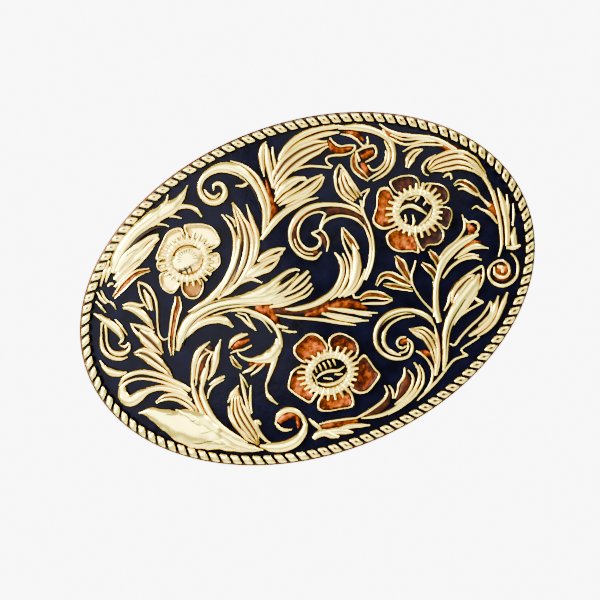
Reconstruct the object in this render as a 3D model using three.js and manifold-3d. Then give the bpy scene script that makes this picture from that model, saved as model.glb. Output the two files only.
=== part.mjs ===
// An oval trophy belt buckle, worn upright: front towards -Y, wearer behind it at +Y, long axis along X.
// The origin is the centre of the back plate's back face. Sizes are in millimetres.
// Gold-plated scrolls, leaves and flowers are sawn overlays on a black enamel ground, inside a rope edge.
// On the back a wire bail swings in two lugs and holds the strap's end, and a prong takes the strap's holes.
import * as THREE from "three";
import { mergeVertices } from "three/addons/utils/BufferGeometryUtils.js";
import Module from "manifold-3d";

const wasm = await Module();
wasm.setup();

const halfLength = 48; // of the oval back plate, along X
const halfHeight = 33.5; // along Z
const bendRadius = 250; // the whole buckle curves round the waist, about an upright axis behind it
const facets = 11; // flat strips across the curve, one of them centred on X = 0
const facetAngle = 0.0365;
const gap = 0.3; // between pieces that are soldered or pressed together

const plateThickness = 1.8;
const groundThickness = 0.5;
const groundFront = plateThickness + gap + groundThickness;
const overlayThickness = 1.1;
const overlayFront = groundFront + gap + overlayThickness;
const stamenThickness = 0.8;
const ropeInset = 0.4; // of the rope from the plate's rim
const ropeWidth = 1.9;
const ropeThickness = 2.3;
const groundInset = ropeInset + ropeWidth + gap;

const wireRadius = 1.5;
const boreRadius = 1.68;
const lugRadius = 2.6;
const lugLength = 6;
const lugFootHalf = 3.6;
const axisHeight = 3.2; // of the bail's axis over the back plate
const bailHalf = 21.25; // from the middle of the strap to the centre line of each leg
const bailReach = 20; // from the hinge axis to the outer bar
const bailHingeBend = 3;
const bailCorner = 6;
const bailPinEnd = 12.5; // where each turned-in end stops
const hingeFacet = 2;

const prongFacet = -3;
const prongPadRadius = 4.6;
const prongPadThickness = 0.9;
const prongRadius = 2.1;
const prongTipRadius = 0.9;
const prongLength = 6.4;
const prongLean = 0.3; // away from the bail, so that the strap can't slip off

const paint = (color, roughness, metalness = 1) =>
  new THREE.MeshStandardMaterial({ color, roughness, metalness });
const gold = paint("#e8c468", 0.22);
const copperGold = paint("#c8712e", 0.25);
const enamel = paint("#0c0c16", 0.2, 0);
const hardware = paint("#d9b765", 0.3);

const buckle = new THREE.Group();

function place(name, geometry, material, parent = buckle) {
  const mesh = new THREE.Mesh(geometry, material);
  mesh.name = name;
  parent.add(mesh);
  return mesh;
}

// Cutting and joining: a geometry becomes a solid, and a solid a geometry again.
function solidOf(geometry) {
  const bare = geometry.clone();
  bare.deleteAttribute("normal");
  bare.deleteAttribute("uv");
  const merged = mergeVertices(bare, 1e-4);
  return new wasm.Manifold(
    new wasm.Mesh({
      numProp: 3,
      vertProperties: merged.attributes.position.array,
      triVerts: new Uint32Array(merged.index.array),
    }),
  );
}

function geometryOf(solid) {
  const mesh = solid.getMesh();
  return new THREE.BufferGeometry()
    .setAttribute("position", new THREE.BufferAttribute(mesh.vertProperties, 3))
    .setIndex(new THREE.BufferAttribute(mesh.triVerts, 1));
}

const vectors = (points) => points.map(([x, z]) => new THREE.Vector2(x, z));

// A layer of the curved buckle between two heights over the plate's back face.
function layer(back, front) {
  const arc = (height) =>
    Array.from({ length: facets + 1 }, (_, i) => {
      const angle = (i - facets / 2) * facetAngle;
      const radius = (bendRadius + height) / Math.cos(facetAngle / 2);
      return new THREE.Vector2(radius * Math.sin(angle), bendRadius - radius * Math.cos(angle));
    });
  const section = new THREE.Shape([...arc(back), ...arc(front).reverse()]);
  const tall = 2 * halfHeight + 10;
  const geometry = new THREE.ExtrudeGeometry(section, { depth: tall, bevelEnabled: false });
  return solidOf(geometry.translate(0, 0, -tall / 2));
}

// A shape drawn in the XZ plane, standing through the buckle from front to back.
function prism(shape, curveSegments = 1) {
  const deep = 30;
  const geometry = new THREE.ExtrudeGeometry(shape, { depth: deep, bevelEnabled: false, curveSegments });
  return solidOf(geometry.rotateX(Math.PI / 2).translate(0, deep / 2, 0));
}

function oval(x, z, halfX, halfZ, sides) {
  const ring = Array.from({ length: sides }, (_, i) => {
    const turn = (2 * Math.PI * i) / sides;
    return new THREE.Vector2(x + halfX * Math.cos(turn), z + halfZ * Math.sin(turn));
  });
  return new THREE.Shape(ring);
}

// A leaf is a closed outline. A stem is a band along a smooth line, from its root's width to its tip's.
const leaf = (points) => prism(new THREE.Shape(vectors(points)));

function stem(points, rootWidth, tipWidth) {
  const step = 1.3;
  const line = new THREE.SplineCurve(vectors(points));
  const count = Math.max(2, Math.round(line.getLength() / step));
  const sides = [[], []];
  for (let i = 0; i <= count; i++) {
    const along = i / count;
    const half = THREE.MathUtils.lerp(rootWidth, tipWidth, along) / 2;
    const tangent = line.getTangentAt(along);
    const across = new THREE.Vector2(-tangent.y, tangent.x).multiplyScalar(half);
    sides[0].push(line.getPointAt(along).add(across));
    sides[1].unshift(line.getPointAt(along).sub(across));
  }
  return prism(new THREE.Shape([...sides[0], ...sides[1]]));
}

const overlayLayer = layer(groundFront + gap, overlayFront);

function overlay(name, shapes, material = gold) {
  const joined = shapes.reduce((sum, shape) => sum.add(shape));
  place(name, geometryOf(joined.intersect(overlayLayer)), material);
}

// Back plate, enamel ground and rope edge, from the back to the front.
const plateShape = oval(0, 0, halfLength, halfHeight, 56);
const groundShape = oval(0, 0, halfLength - groundInset, halfHeight - groundInset, 56);
const ropeOutside = oval(0, 0, halfLength - ropeInset, halfHeight - ropeInset, 56);
const ropeInside = oval(
  0, 0, halfLength - ropeInset - ropeWidth, halfHeight - ropeInset - ropeWidth, 56,
);
place("back_plate", geometryOf(prism(plateShape).intersect(layer(0, plateThickness))), gold);
place(
  "enamel_ground",
  geometryOf(prism(groundShape).intersect(layer(plateThickness + gap, groundFront))),
  enamel,
);
const ropeLayer = layer(plateThickness + gap, plateThickness + gap + ropeThickness);
place(
  "rope_edge",
  geometryOf(prism(ropeOutside).subtract(prism(ropeInside)).intersect(ropeLayer)),
  gold,
);

// Left end, from the top down.
overlay("leaf_spray_upper_left", [
  leaf([
    [-36, 15.8], [-33, 20], [-31.5, 22], [-29.5, 23.3], [-23.5, 25.3], [-19.2, 27.4], [-18.6, 26.3],
    [-14.9, 28], [-17.2, 25.3], [-14.8, 23], [-14.4, 21], [-16.8, 23.2], [-20, 23.6], [-22.5, 22.6],
    [-23.6, 20.6], [-27, 18.7], [-33, 16.5],
  ]),
  stem([[-39.4, 12.2], [-37.8, 14], [-36, 15.8], [-34, 17.6]], 1.4, 2.4),
  stem([[-38, 13.4], [-34, 14.6], [-31, 15.7], [-28.3, 15.3]], 1.1, 0.9),
]);
overlay("bud_left", [
  stem([[-36, 10], [-34.5, 9.2], [-33.3, 7.8], [-32.3, 6], [-31.8, 4], [-31.5, 2]], 1, 1.3),
  stem([[-31.2, 13.4], [-30.2, 11], [-30.1, 8.5], [-30.9, 5.5], [-31.4, 2.4]], 1.1, 1.4),
  leaf([
    [-36, 6.6], [-35.4, 4], [-33.7, 1.2], [-32.9, -0.3], [-31.9, -1.5], [-31.2, -0.6], [-31, 2.6],
    [-32.6, 4.6], [-34.2, 6],
  ]),
]);
overlay("teardrop_left", [
  stem([[-41.5, 10], [-42.4, 6.8], [-42.9, 4], [-42.2, 1.8], [-40.2, 0.9]], 1.2, 1.2),
  stem([[-41.7, 9.7], [-39.6, 7.8], [-38.3, 5], [-38.1, 2.6], [-39.4, 1.1], [-40.5, 0.9]], 1.3, 1.2),
  leaf([
    [-43.2, 2.6], [-43.2, 0.7], [-42.4, -0.5], [-40.3, -1.6], [-41.5, -2.3], [-42.9, -2.1],
    [-44, -1.2], [-44.4, 0.4],
  ]),
]);
overlay("scroll_lower_left", [
  stem(
    [[-42.8, -4.2], [-41.5, -3.3], [-39.5, -3.1], [-37.5, -3.5], [-35.5, -4.6], [-33.5, -6.2],
      [-31.2, -8.6]],
    1.2, 1.2,
  ),
  stem(
    [[-42.7, -4.1], [-43.2, -5.6], [-43, -7.2], [-42, -8.2], [-39, -8], [-37, -7.7], [-35, -8],
      [-33, -8.9], [-31.2, -10.4]],
    1.4, 1.8,
  ),
  leaf([
    [-37.4, 0.4], [-36, 1], [-34.9, 0.1], [-33.6, -0.8], [-32.6, -2.1], [-31.9, -3.3], [-31.7, -5],
    [-32.4, -6.8], [-33.2, -5.3], [-34.6, -2.5], [-35.8, -0.9],
  ]),
  stem([[-37, -10.3], [-35, -9.8], [-33, -10.2], [-31.5, -11.5], [-30.7, -13.2], [-30.6, -14.2]], 1, 0.9),
]);
overlay("leaf_lower_left", [
  leaf([
    [-41, -10.8], [-39.5, -10.2], [-38.2, -10.5], [-37.2, -11.8], [-34.5, -12.3], [-33, -13.3],
    [-31.5, -15], [-30.8, -16.4], [-29.9, -18.2], [-28.7, -20.4], [-27, -22.8], [-25.2, -24.7],
    [-24.2, -25.8], [-26.6, -24.4], [-28.2, -23.2], [-31.5, -22.1], [-32, -19.7], [-34.8, -18.8],
    [-36.6, -17.3], [-37.7, -15.5], [-38.2, -13.2],
  ]),
]);
overlay("stem_lower_left", [
  stem(
    [[-28, -9], [-28.2, -12], [-28.1, -15], [-27.5, -18], [-26.2, -20.8], [-24.2, -23.4],
      [-22, -25.4], [-19.5, -26.8], [-16, -27.7], [-13.5, -27.6], [-11.5, -26.7], [-10.3, -25.2],
      [-10.2, -23.4], [-11, -21.9], [-12.8, -21.1], [-14.8, -21.6], [-15.6, -22.9], [-15.3, -24.1],
      [-14.3, -24.7], [-13.3, -24.5]],
    2.1, 0.9,
  ),
  stem([[-28.2, -10.5], [-27.6, -6.8], [-26, -4.6], [-24.5, -3.4], [-22.4, -2.8]], 1.2, 0.9),
  stem([[-27.4, -11.2], [-25, -9.3], [-23.2, -7.2], [-21.5, -5], [-20.2, -3.4]], 1.3, 1.1),
  stem([[-27.6, -13.5], [-25.8, -11.6], [-24, -10.8], [-22.2, -10.4]], 1.3, 0.9),
]);
overlay("acanthus_lower_left", [
  leaf([
    [-20.4, -23.9], [-22.2, -21.9], [-23.2, -19.6], [-23.6, -17.6], [-23, -15.8], [-20.5, -13.4],
    [-19, -11.6], [-18.6, -13.6], [-17.6, -14.4], [-18, -16.8], [-18.9, -19.2], [-18.6, -21.6],
    [-19.2, -23.4],
  ]),
]);

// The main bough grows across the middle and throws off the tall leaf, the centre leaves and a volute.
overlay("main_bough", [
  stem(
    [[-29.4, -2.4], [-27.5, 0.3], [-25, 2.2], [-22, 3.4], [-18.5, 3.5], [-15, 2.8], [-12, 1.9],
      [-9, 1.2]],
    1.8, 4,
  ),
  leaf([
    [-12, 2.6], [-9.5, 3.2], [-5, 4.7], [-3, 5.2], [-1, 5.1], [-0.2, 4.3], [1.5, 3.2], [1.2, 0.9],
    [0.5, -0.5], [-2, -1.3], [-6, -1.7], [-9, -1.6], [-12, 0],
  ]),
  leaf([
    [-20.5, 4], [-17, 5.8], [-14.5, 7.5], [-12, 9.8], [-10.3, 12.3], [-9.5, 14.5], [-9.3, 17],
    [-10.5, 19.9], [-8.5, 18.9], [-7.7, 21.4], [-6.4, 19], [-5.3, 20.1], [-4.9, 18], [-5.3, 15],
    [-5.8, 12.2], [-7.5, 9.8], [-8.6, 8.4], [-6.3, 9.8], [-4.8, 10.2], [-3, 10], [-1.4, 9.1],
    [-3.5, 7], [-5, 6.1], [-8.3, 5.7], [-11, 5], [-14, 4], [-18, 3],
  ]),
  stem([[-29.6, -2], [-29, 1.3], [-27.5, 4], [-26, 6], [-25.4, 7.4]], 1.2, 0.9),
  stem([[-26.5, 0.2], [-24, 1], [-21.5, 1.4], [-19, 1], [-17.6, 0], [-16.8, -1.4]], 1, 1.2),
  stem([[-15.6, 1.6], [-14.2, -0.8], [-12.9, -3.6]], 1.4, 0.8),
  stem(
    [[-12, 0.8], [-10, -2], [-9.2, -4.5], [-9, -6.5], [-9.7, -8.6], [-11.3, -10], [-13.5, -10.4],
      [-15.6, -10], [-17.4, -8.8], [-18.4, -7.4], [-18.2, -5.6]],
    2.2, 1,
  ),
  leaf([[-18.7, -5.4], [-17.8, -4.2], [-16, -3.4], [-14.7, -4], [-14.6, -6], [-17, -6.4], [-18.7, -6.2]]),
  stem([[-10.4, -9.6], [-12, -12], [-14, -14], [-15, -16], [-14.9, -18], [-14.4, -19.2]], 1.3, 0.9),
  stem(
    [[-10, -0.4], [-6.5, -2.4], [-3.5, -3.3], [0, -3.8], [3, -3.6], [5.3, -2.6], [7, -0.9], [7.9, 1],
      [8.1, 3], [7.8, 4.5]],
    2.4, 0.9,
  ),
  leaf([
    [6.6, -2.4], [8.7, 0], [8.9, 3.9], [9.9, 5], [11.1, 8.6], [11.7, 6.2], [12.5, 4.6], [12.4, 2],
    [11.4, -0.6], [10, -2.4], [8, -4.1], [5, -4.4], [3, -4],
  ]),
]);
overlay("leaf_spray_centre", [
  leaf([
    [-4.6, -4.9], [-2, -5.3], [2, -5.3], [5, -5.1], [9.3, -5.2], [11.5, -5], [13.2, -6.2],
    [15, -8.1], [11.5, -7.8], [9, -7.2], [11.2, -9.6], [9.1, -10.2], [6.3, -10.5], [4, -9.4],
    [1, -7.8], [-2, -6.2],
  ]),
]);

// Top edge.
overlay("volute_top", [
  stem(
    [[-3.8, 13.2], [-2.6, 15], [-1.8, 17], [-1.4, 19], [-1.4, 21.5], [-1.9, 24], [-3, 26.3],
      [-4.8, 28], [-7, 28.9], [-9, 28.8], [-11, 28], [-12.4, 26.6], [-12.7, 24.9], [-12, 23.6],
      [-10.3, 23.1], [-8.8, 23.7], [-8.3, 25], [-8.8, 26.1], [-9.8, 26]],
    2, 1,
  ),
  stem([[-4.2, 12.7], [-2.5, 14.3], [0, 15.7], [2.5, 16.5], [5, 16.7], [8, 16.8]], 1.2, 1),
  stem([[-2, 24.6], [-3.6, 24.9], [-5.4, 24.3]], 1.4, 0.6),
  leaf([
    [-0.2, 15.6], [-0.1, 17.4], [0.5, 18.6], [1.8, 20], [3.2, 20.9], [5, 21.4], [6.7, 21.3],
    [7.9, 20.8], [10.5, 20.5], [11.4, 19.9], [10.5, 18.5], [9, 17.4], [6, 16.6],
  ]),
]);
overlay("leaf_spray_top", [
  leaf([
    [0.7, 21], [0.4, 24], [0.6, 26], [0.9, 28], [1.6, 29.5], [2.8, 30.2], [3.6, 29.3], [4.1, 28.1],
    [3.9, 26.4], [5.5, 27.7], [7.5, 28.8], [10, 29.6], [12.5, 29.3], [15, 28.7], [17, 28],
    [15.2, 26.8], [16.4, 24.6], [18.6, 23.4], [14.2, 23], [11, 22.6], [8, 23.3], [4, 22.7], [1.6, 21],
  ]),
]);
overlay("bough_right", [
  stem(
    [[18.2, 27], [21, 26], [23.5, 24.8], [25.2, 23], [25.9, 21], [25.7, 18.9], [24.7, 17],
      [22.8, 16], [20.7, 15.9], [19, 16.9], [18.1, 18.9], [18.6, 20.9], [20.2, 22], [22, 21.8],
      [22.9, 20.7], [22.3, 19.7], [21.2, 19.5]],
    1.5, 0.9,
  ),
  stem([[18.4, 26.6], [19.8, 25], [20.8, 23.5]], 1, 0.6),
  stem(
    [[23.4, 24.8], [26, 23.9], [28.5, 22.3], [31, 20.9], [33.8, 19], [36.2, 16.9], [38.5, 14.2],
      [40, 11.6], [41.1, 9], [41.6, 6], [41.7, 3], [41.4, 0], [40.8, -3], [39.9, -5.6], [38.9, -7.6]],
    1.6, 1.4,
  ),
  leaf([[27.6, 15.2], [28, 16.5], [29.3, 17.8], [31, 18.1], [35.2, 18], [36.5, 16], [32, 16.9], [29.5, 16]]),
  leaf([
    [40.6, 11.5], [39, 14], [37, 15], [33, 15.3], [31, 15.1], [30.4, 13.8], [30.8, 12.4], [32, 13],
    [33.5, 12], [38, 11.8], [40, 10.6], [41.2, 8.4],
  ]),
  leaf([
    [35.5, 8.9], [36.3, 9.3], [37.5, 8.5], [38.5, 7.2], [39.4, 5.2], [41.2, 3.4], [41.2, 1.2],
    [39.8, 2.4], [38.8, 4.6], [36.8, 7], [35.8, 7.5],
  ]),
  stem([[37.2, 2.9], [38.3, 2.2], [39.5, 0.9], [40.3, -0.8], [40.6, -2.4]], 0.8, 1),
  stem([[43.7, 4.5], [43.9, 2], [43.8, -0.8], [43.1, -3.4], [42.1, -5.8], [40.6, -7.6]], 0.9, 1.2),
  stem(
    [[39.6, -6.4], [40.5, -8], [40.9, -9.8], [40.6, -11.7], [39.5, -13.2], [37.7, -13.8],
      [35.9, -13.2], [35.1, -11.6], [35.6, -9.9], [37.2, -9.2], [38.7, -9.7], [39.2, -11],
      [38.4, -12], [37.2, -11.6]],
    1, 0.8,
  ),
]);

// Middle right.
overlay("volute_centre", [
  stem(
    [[16.2, 8.5], [14.5, 10.9], [12, 12.6], [9.5, 13.4], [7, 13.9], [4.8, 13.6], [2.6, 12.4],
      [1.3, 10.6], [1.1, 8.7], [2, 7], [3.4, 6.2], [4.9, 6.6], [5.9, 7.7], [6, 9]],
    2.2, 1.4,
  ),
  stem([[16.6, 13], [16.5, 10], [16.2, 7], [15.4, 3.5], [14, 0.3], [12.6, -1.8], [11.4, -3]], 1, 0.9),
  leaf([
    [15.2, 20.9], [14, 19.8], [13, 18.3], [12.7, 16.5], [13, 15], [14.3, 13.5], [15.9, 11.8],
    [17.3, 12.3], [18.4, 14], [16.9, 14.4], [16.6, 16.3], [16.1, 18],
  ]),
]);
overlay("volute_lower_right", [
  stem(
    [[20.5, -16.6], [20.3, -15], [19.4, -13.4], [17.4, -12], [15, -11.3], [12.6, -11.5],
      [10.6, -12.8], [9.5, -14.9], [9.6, -17], [10.7, -18.8], [12.6, -19.7], [14.2, -19.3],
      [15, -18.1], [14.5, -17], [13.4, -17]],
    1.4, 0.8,
  ),
]);
overlay("leaf_in_volute", [
  leaf([
    [16.2, -15.2], [18.5, -15.7], [19.6, -17.4], [19.7, -19.3], [19, -21.2], [18.2, -22.6],
    [18.1, -18.5], [17.5, -16.8],
  ]),
]);
overlay("sprig_right", [
  stem([[17.4, -26.2], [19, -24], [20.5, -21.5], [21.8, -19], [23.5, -16.8]], 1.2, 1.8),
  leaf([
    [22.8, -15.4], [24.3, -14.2], [25.5, -13.3], [26.5, -11.7], [28, -10.3], [30, -9.4],
    [34.2, -8.7], [33.6, -10.8], [31, -13.3], [28.5, -14.5], [26.5, -15.7], [24.5, -17.3],
    [22.8, -18.5],
  ]),
  stem(
    [[22.4, -18], [22.7, -14.5], [23.3, -11.8], [24.3, -9.2], [25.8, -6.8], [28, -4.9], [33, -3.2]],
    1.2, 1.4,
  ),
  stem([[26.8, -5.6], [28.5, -3.6], [31, -2.2], [33, -1], [34.2, 0.8], [34.5, 2.2]], 1.2, 0.8),
  stem([[31.5, -2.4], [33.5, -1.4], [35.5, -0.4], [36.5, 0]], 1.4, 1.2),
  stem([[29, -4.6], [32, -3.9], [34.5, -3.8], [36.8, -5.4]], 1.6, 0.8),
  stem([[25, -8.6], [28.5, -6.4], [31, -5.9], [33, -6.2], [34.4, -7.2]], 1.1, 0.8),
  stem([[24.2, -9.2], [24.7, -6.8], [24.1, -5], [23.5, -3.8]], 1, 0.7),
  stem([[22.6, -16], [21.5, -12], [20.3, -8], [20.8, -5.2], [22, -3.2]], 0.9, 0.8),
  stem([[20.4, -8.4], [19.5, -4.5], [19.4, -2.4], [19, -1]], 0.9, 0.8),
  stem([[20.4, -8.6], [18, -6.6], [16.6, -5], [15, -3.9], [13.4, -4.2]], 0.9, 0.9),
  stem([[24.4, -17.4], [27.5, -16.2], [30, -15.7], [32, -15.5]], 0.9, 0.7),
  stem([[18.4, -24.6], [17.4, -23], [16.8, -21], [15.8, -19.8]], 1, 0.6),
]);
overlay("leaf_spray_lower_right", [
  leaf([
    [22.6, -21.6], [25, -20.3], [28, -18.8], [31, -17.7], [33.2, -16.2], [35.3, -15.4],
    [37.2, -15.6], [35.5, -17.5], [33.5, -19.3], [31, -20.9], [28.5, -21.9], [25, -22.8],
    [25, -24.2], [22.5, -24], [20.8, -24.8], [21, -23.4],
  ]),
]);

// Bottom edge.
overlay("leaf_spray_bottom", [
  leaf([
    [0.7, -27.6], [3.5, -27], [6, -26], [7.3, -23.9], [8.4, -25.6], [10.4, -24.4], [12.4, -22],
    [12.9, -24.2], [14.5, -21.8], [15.6, -22.8], [15.4, -24.8], [14.2, -26.9], [12, -28.4],
    [8.5, -29.3], [5.5, -29.8], [3, -29.4], [0.7, -28.6],
  ]),
]);
overlay("leaf_curl_bottom", [
  leaf([
    [-9.1, -24.7], [-8.3, -26.1], [-5, -26.6], [-2, -27.3], [0, -27.8], [-0.3, -28.9], [0, -29.6],
    [-1.8, -30.2], [-4.3, -29.3], [-6, -29.9], [-7.3, -28.5], [-9.9, -28.6], [-9.3, -27.2],
  ]),
]);

// Each flower is a sheet of petals under a ring of stamens and a raised centre.
const petals = {
  upper_left: [
    [-26.2, 15], [-25.8, 17.2], [-24.3, 18.9], [-22.2, 20.8], [-20, 21], [-17.5, 20.7], [-14.5, 19.7],
    [-13.2, 18.5], [-12.6, 16], [-14, 13.3], [-14.5, 10.8], [-18.5, 9.8], [-20, 7.1], [-21.5, 6.4],
    [-23.2, 7], [-24, 9.2], [-25.8, 9], [-27.2, 10.3], [-27.2, 12], [-26.3, 14],
  ],
  upper_right: [
    [23, 13.8], [22.3, 13.3], [20.7, 13.4], [19.6, 11.8], [17.3, 8.2], [17.5, 6.5], [18.7, 5.1],
    [18.5, 4.1], [18.3, 2.3], [19, 0.8], [20.6, 0.1], [23.5, -1.6], [25.5, -0.8], [27.8, -1.4],
    [29.7, 0.5], [31.5, 1.5], [32.7, 3], [32.8, 4.5], [33.4, 7], [33, 9], [31, 10.8], [29.5, 11.5],
    [28, 13.8], [25.5, 14.3],
  ],
  lower: [
    [-7, -13.5], [-7.4, -11], [-5.5, -9.2], [-3.3, -8.3], [-1.5, -9.1], [-0.4, -11.8], [1, -10.4],
    [2.7, -10.6], [4, -11.5], [5.2, -13.3], [5, -15.7], [6.3, -17.5], [7.3, -21.3], [5.5, -22.8],
    [3.5, -23.9], [1.2, -23.4], [0, -25.4], [-2.5, -25], [-5.5, -24.3], [-7.1, -23.2], [-6.6, -21.2],
    [-8, -21.6], [-10.4, -18.5], [-11, -17.2], [-9.2, -14.2],
  ],
};
// Middle of each ring, its half width and half height, and the petals' colour.
const flowers = {
  upper_left: { middle: [-20.3, 14.2], ring: [5.2, 5], finish: gold },
  upper_right: { middle: [26, 6.5], ring: [5.6, 5.2], finish: copperGold },
  lower: { middle: [-2, -17.4], ring: [6, 4.9], finish: copperGold },
};
const stamenBand = 2.2;
const centreShare = 0.42;
const stamenLayer = layer(overlayFront + gap, overlayFront + gap + stamenThickness);
const flowerCentreLayer = layer(overlayFront + gap, overlayFront + gap + stamenThickness + 0.2);

for (const [name, { middle, ring, finish }] of Object.entries(flowers)) {
  overlay(`flower_petals_${name}`, [leaf(petals[name])], finish);
  const outside = prism(oval(...middle, ...ring, 20));
  const inside = prism(oval(...middle, ring[0] - stamenBand, ring[1] - stamenBand, 20));
  const centre = prism(oval(...middle, centreShare * ring[0], centreShare * ring[1], 12));
  place(`flower_stamens_${name}`, geometryOf(outside.subtract(inside).intersect(stamenLayer)), gold);
  place(`flower_centre_${name}`, geometryOf(centre.intersect(flowerCentreLayer)), gold);
}

// A seat is a flat strip of the plate's back: X along the plate, +Y away from it towards the wearer.
function seatOn(facet) {
  const angle = facet * facetAngle;
  const seat = new THREE.Group();
  seat.position.set(bendRadius * Math.sin(angle), bendRadius * (1 - Math.cos(angle)), 0);
  seat.rotation.z = angle;
  buckle.add(seat);
  return seat;
}

// Hinge: two lugs with bores, and the bail's turned-in ends in them.
const hingeSeat = seatOn(hingeFacet);
const lugShape = new THREE.Shape();
lugShape.moveTo(-lugFootHalf, gap);
lugShape.lineTo(lugFootHalf, gap);
lugShape.lineTo(lugFootHalf, gap + 0.5);
lugShape.absarc(0, axisHeight, lugRadius, -0.5, Math.PI + 0.5, false);
lugShape.lineTo(-lugFootHalf, gap + 0.5);
lugShape.holes.push(new THREE.Path().absarc(0, axisHeight, boreRadius, 0, 2 * Math.PI, true));
const lugBase = bailHalf - bailHingeBend - lugLength - gap;
const lugSettings = { depth: lugLength, bevelEnabled: false, curveSegments: 10 };
for (const [name, start] of [["upper", lugBase], ["lower", -lugBase - lugLength]]) {
  const lug = new THREE.ExtrudeGeometry(lugShape, lugSettings);
  place(`bail_lug_${name}`, lug.translate(0, 0, start), hardware, hingeSeat);
}

const bailPoint = (x, z) => new THREE.Vector3(x, axisHeight, z);
const bailLine = new THREE.CurvePath();
const halfBail = [
  [0, bailPinEnd], [0, bailHalf - bailHingeBend], [0, bailHalf], [bailHingeBend, bailHalf],
  [bailReach - bailCorner, bailHalf], [bailReach, bailHalf], [bailReach, bailHalf - bailCorner],
].map(([x, z]) => bailPoint(x, z));
const mirrored = halfBail.map((p) => bailPoint(p.x, -p.z)).reverse();
const round = (from, corner, to) => {
  const quarter = 0.448; // pulls the corner point in, so that the bend is nearly a quarter circle
  return new THREE.CubicBezierCurve3(
    from, corner.clone().lerp(from, quarter), corner.clone().lerp(to, quarter), to,
  );
};
const straight = (from, to) => new THREE.LineCurve3(from, to);
bailLine.curves.push(
  straight(halfBail[0], halfBail[1]), round(halfBail[1], halfBail[2], halfBail[3]),
  straight(halfBail[3], halfBail[4]), round(halfBail[4], halfBail[5], halfBail[6]),
  straight(halfBail[6], mirrored[0]), round(mirrored[0], mirrored[1], mirrored[2]),
  straight(mirrored[2], mirrored[3]), round(mirrored[3], mirrored[4], mirrored[5]),
  straight(mirrored[5], mirrored[6]),
);
const wireSection = new THREE.Shape(oval(0, 0, wireRadius, wireRadius, 10).getPoints());
place(
  "bail",
  new THREE.ExtrudeGeometry(wireSection, { steps: 50, extrudePath: bailLine, bevelEnabled: false }),
  hardware,
  hingeSeat,
);

// Prong: a tapered peg on a round pad, leaning towards the free end of the strap.
const prongSeat = seatOn(prongFacet);
const pad = new THREE.CylinderGeometry(prongPadRadius - 0.5, prongPadRadius, prongPadThickness, 20);
place("prong_pad", pad.translate(0, gap + prongPadThickness / 2, 0), hardware, prongSeat);
const prongProfile = [
  [0, 0], [prongRadius, 0], [prongRadius * 0.86, prongLength * 0.5], [prongRadius, prongLength * 0.8],
  [prongRadius * 0.8, prongLength * 0.95], [prongTipRadius, prongLength], [0, prongLength],
];
const prong = place("prong", new THREE.LatheGeometry(vectors(prongProfile), 16), hardware, prongSeat);
prong.rotation.z = prongLean;
prong.position.y = 2 * gap + prongPadThickness + prongRadius * Math.sin(prongLean);

export default buckle;
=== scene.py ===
import math
import bpy
import bmesh
from mathutils import Matrix, Vector


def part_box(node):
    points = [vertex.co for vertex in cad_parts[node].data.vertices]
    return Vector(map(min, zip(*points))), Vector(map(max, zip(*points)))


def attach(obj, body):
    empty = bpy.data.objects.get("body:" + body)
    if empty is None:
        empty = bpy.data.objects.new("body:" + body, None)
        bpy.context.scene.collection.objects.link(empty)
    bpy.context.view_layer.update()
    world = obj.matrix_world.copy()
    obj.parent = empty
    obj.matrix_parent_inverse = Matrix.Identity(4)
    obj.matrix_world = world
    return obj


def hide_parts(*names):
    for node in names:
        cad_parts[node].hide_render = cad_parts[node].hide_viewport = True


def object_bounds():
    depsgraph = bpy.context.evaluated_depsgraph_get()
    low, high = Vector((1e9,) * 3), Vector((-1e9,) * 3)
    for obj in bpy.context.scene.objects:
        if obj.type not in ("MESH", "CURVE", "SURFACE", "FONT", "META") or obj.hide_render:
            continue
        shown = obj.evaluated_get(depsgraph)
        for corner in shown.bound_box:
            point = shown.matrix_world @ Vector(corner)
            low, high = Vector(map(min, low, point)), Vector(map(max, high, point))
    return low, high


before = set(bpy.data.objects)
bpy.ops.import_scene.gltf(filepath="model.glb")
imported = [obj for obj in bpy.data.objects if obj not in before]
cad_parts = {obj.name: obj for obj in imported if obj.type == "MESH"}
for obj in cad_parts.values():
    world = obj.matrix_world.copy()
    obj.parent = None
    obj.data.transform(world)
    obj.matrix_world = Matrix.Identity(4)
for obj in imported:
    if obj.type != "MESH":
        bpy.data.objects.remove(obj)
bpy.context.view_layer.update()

# --- Back plate -------------------------------------------------------------------------------
# An oval of 1.8 mm gold-plated brass, cut from sheet and rolled to a gentle curve round the waist.
# Its rim is filed round, and its back keeps the fine brush marks of the finishing wheel.
# Lengths in this script are in millimetres until a piece is finished, heights are over the
# plate's back face, and a point is (x, -height, z) until the piece is bent with the plate.
MM = 0.001
PLATE_LOW, PLATE_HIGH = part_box("back_plate")
HALF_LENGTH = PLATE_HIGH[0] / MM
HALF_HEIGHT = PLATE_HIGH[2] / MM
BEND_RADIUS = 250
PLATE_THICKNESS = 1.8
PLATE_RIM = 0.45
PATINA_FROM = 0.6 * PLATE_THICKNESS


def linear(hex_colour):
    """An sRGB hex colour as linear RGBA."""
    channels = [int(hex_colour[i:i + 2], 16) / 255 for i in (1, 3, 5)]
    return [c / 12.92 if c <= 0.04045 else ((c + 0.055) / 1.055) ** 2.4 for c in channels] + [1]


def node(tree, kind, settings=None, links=None):
    """Adds a node, sets its properties and inputs, and links inputs to (node, output) pairs."""
    made = tree.nodes.new(kind)
    for name, value in (settings or {}).items():
        if name in made.inputs:
            made.inputs[name].default_value = value
        else:
            setattr(made, name, value)
    for name, (source, output) in (links or {}).items():
        tree.links.new(source.outputs[output], made.inputs[name])
    return made


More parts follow.
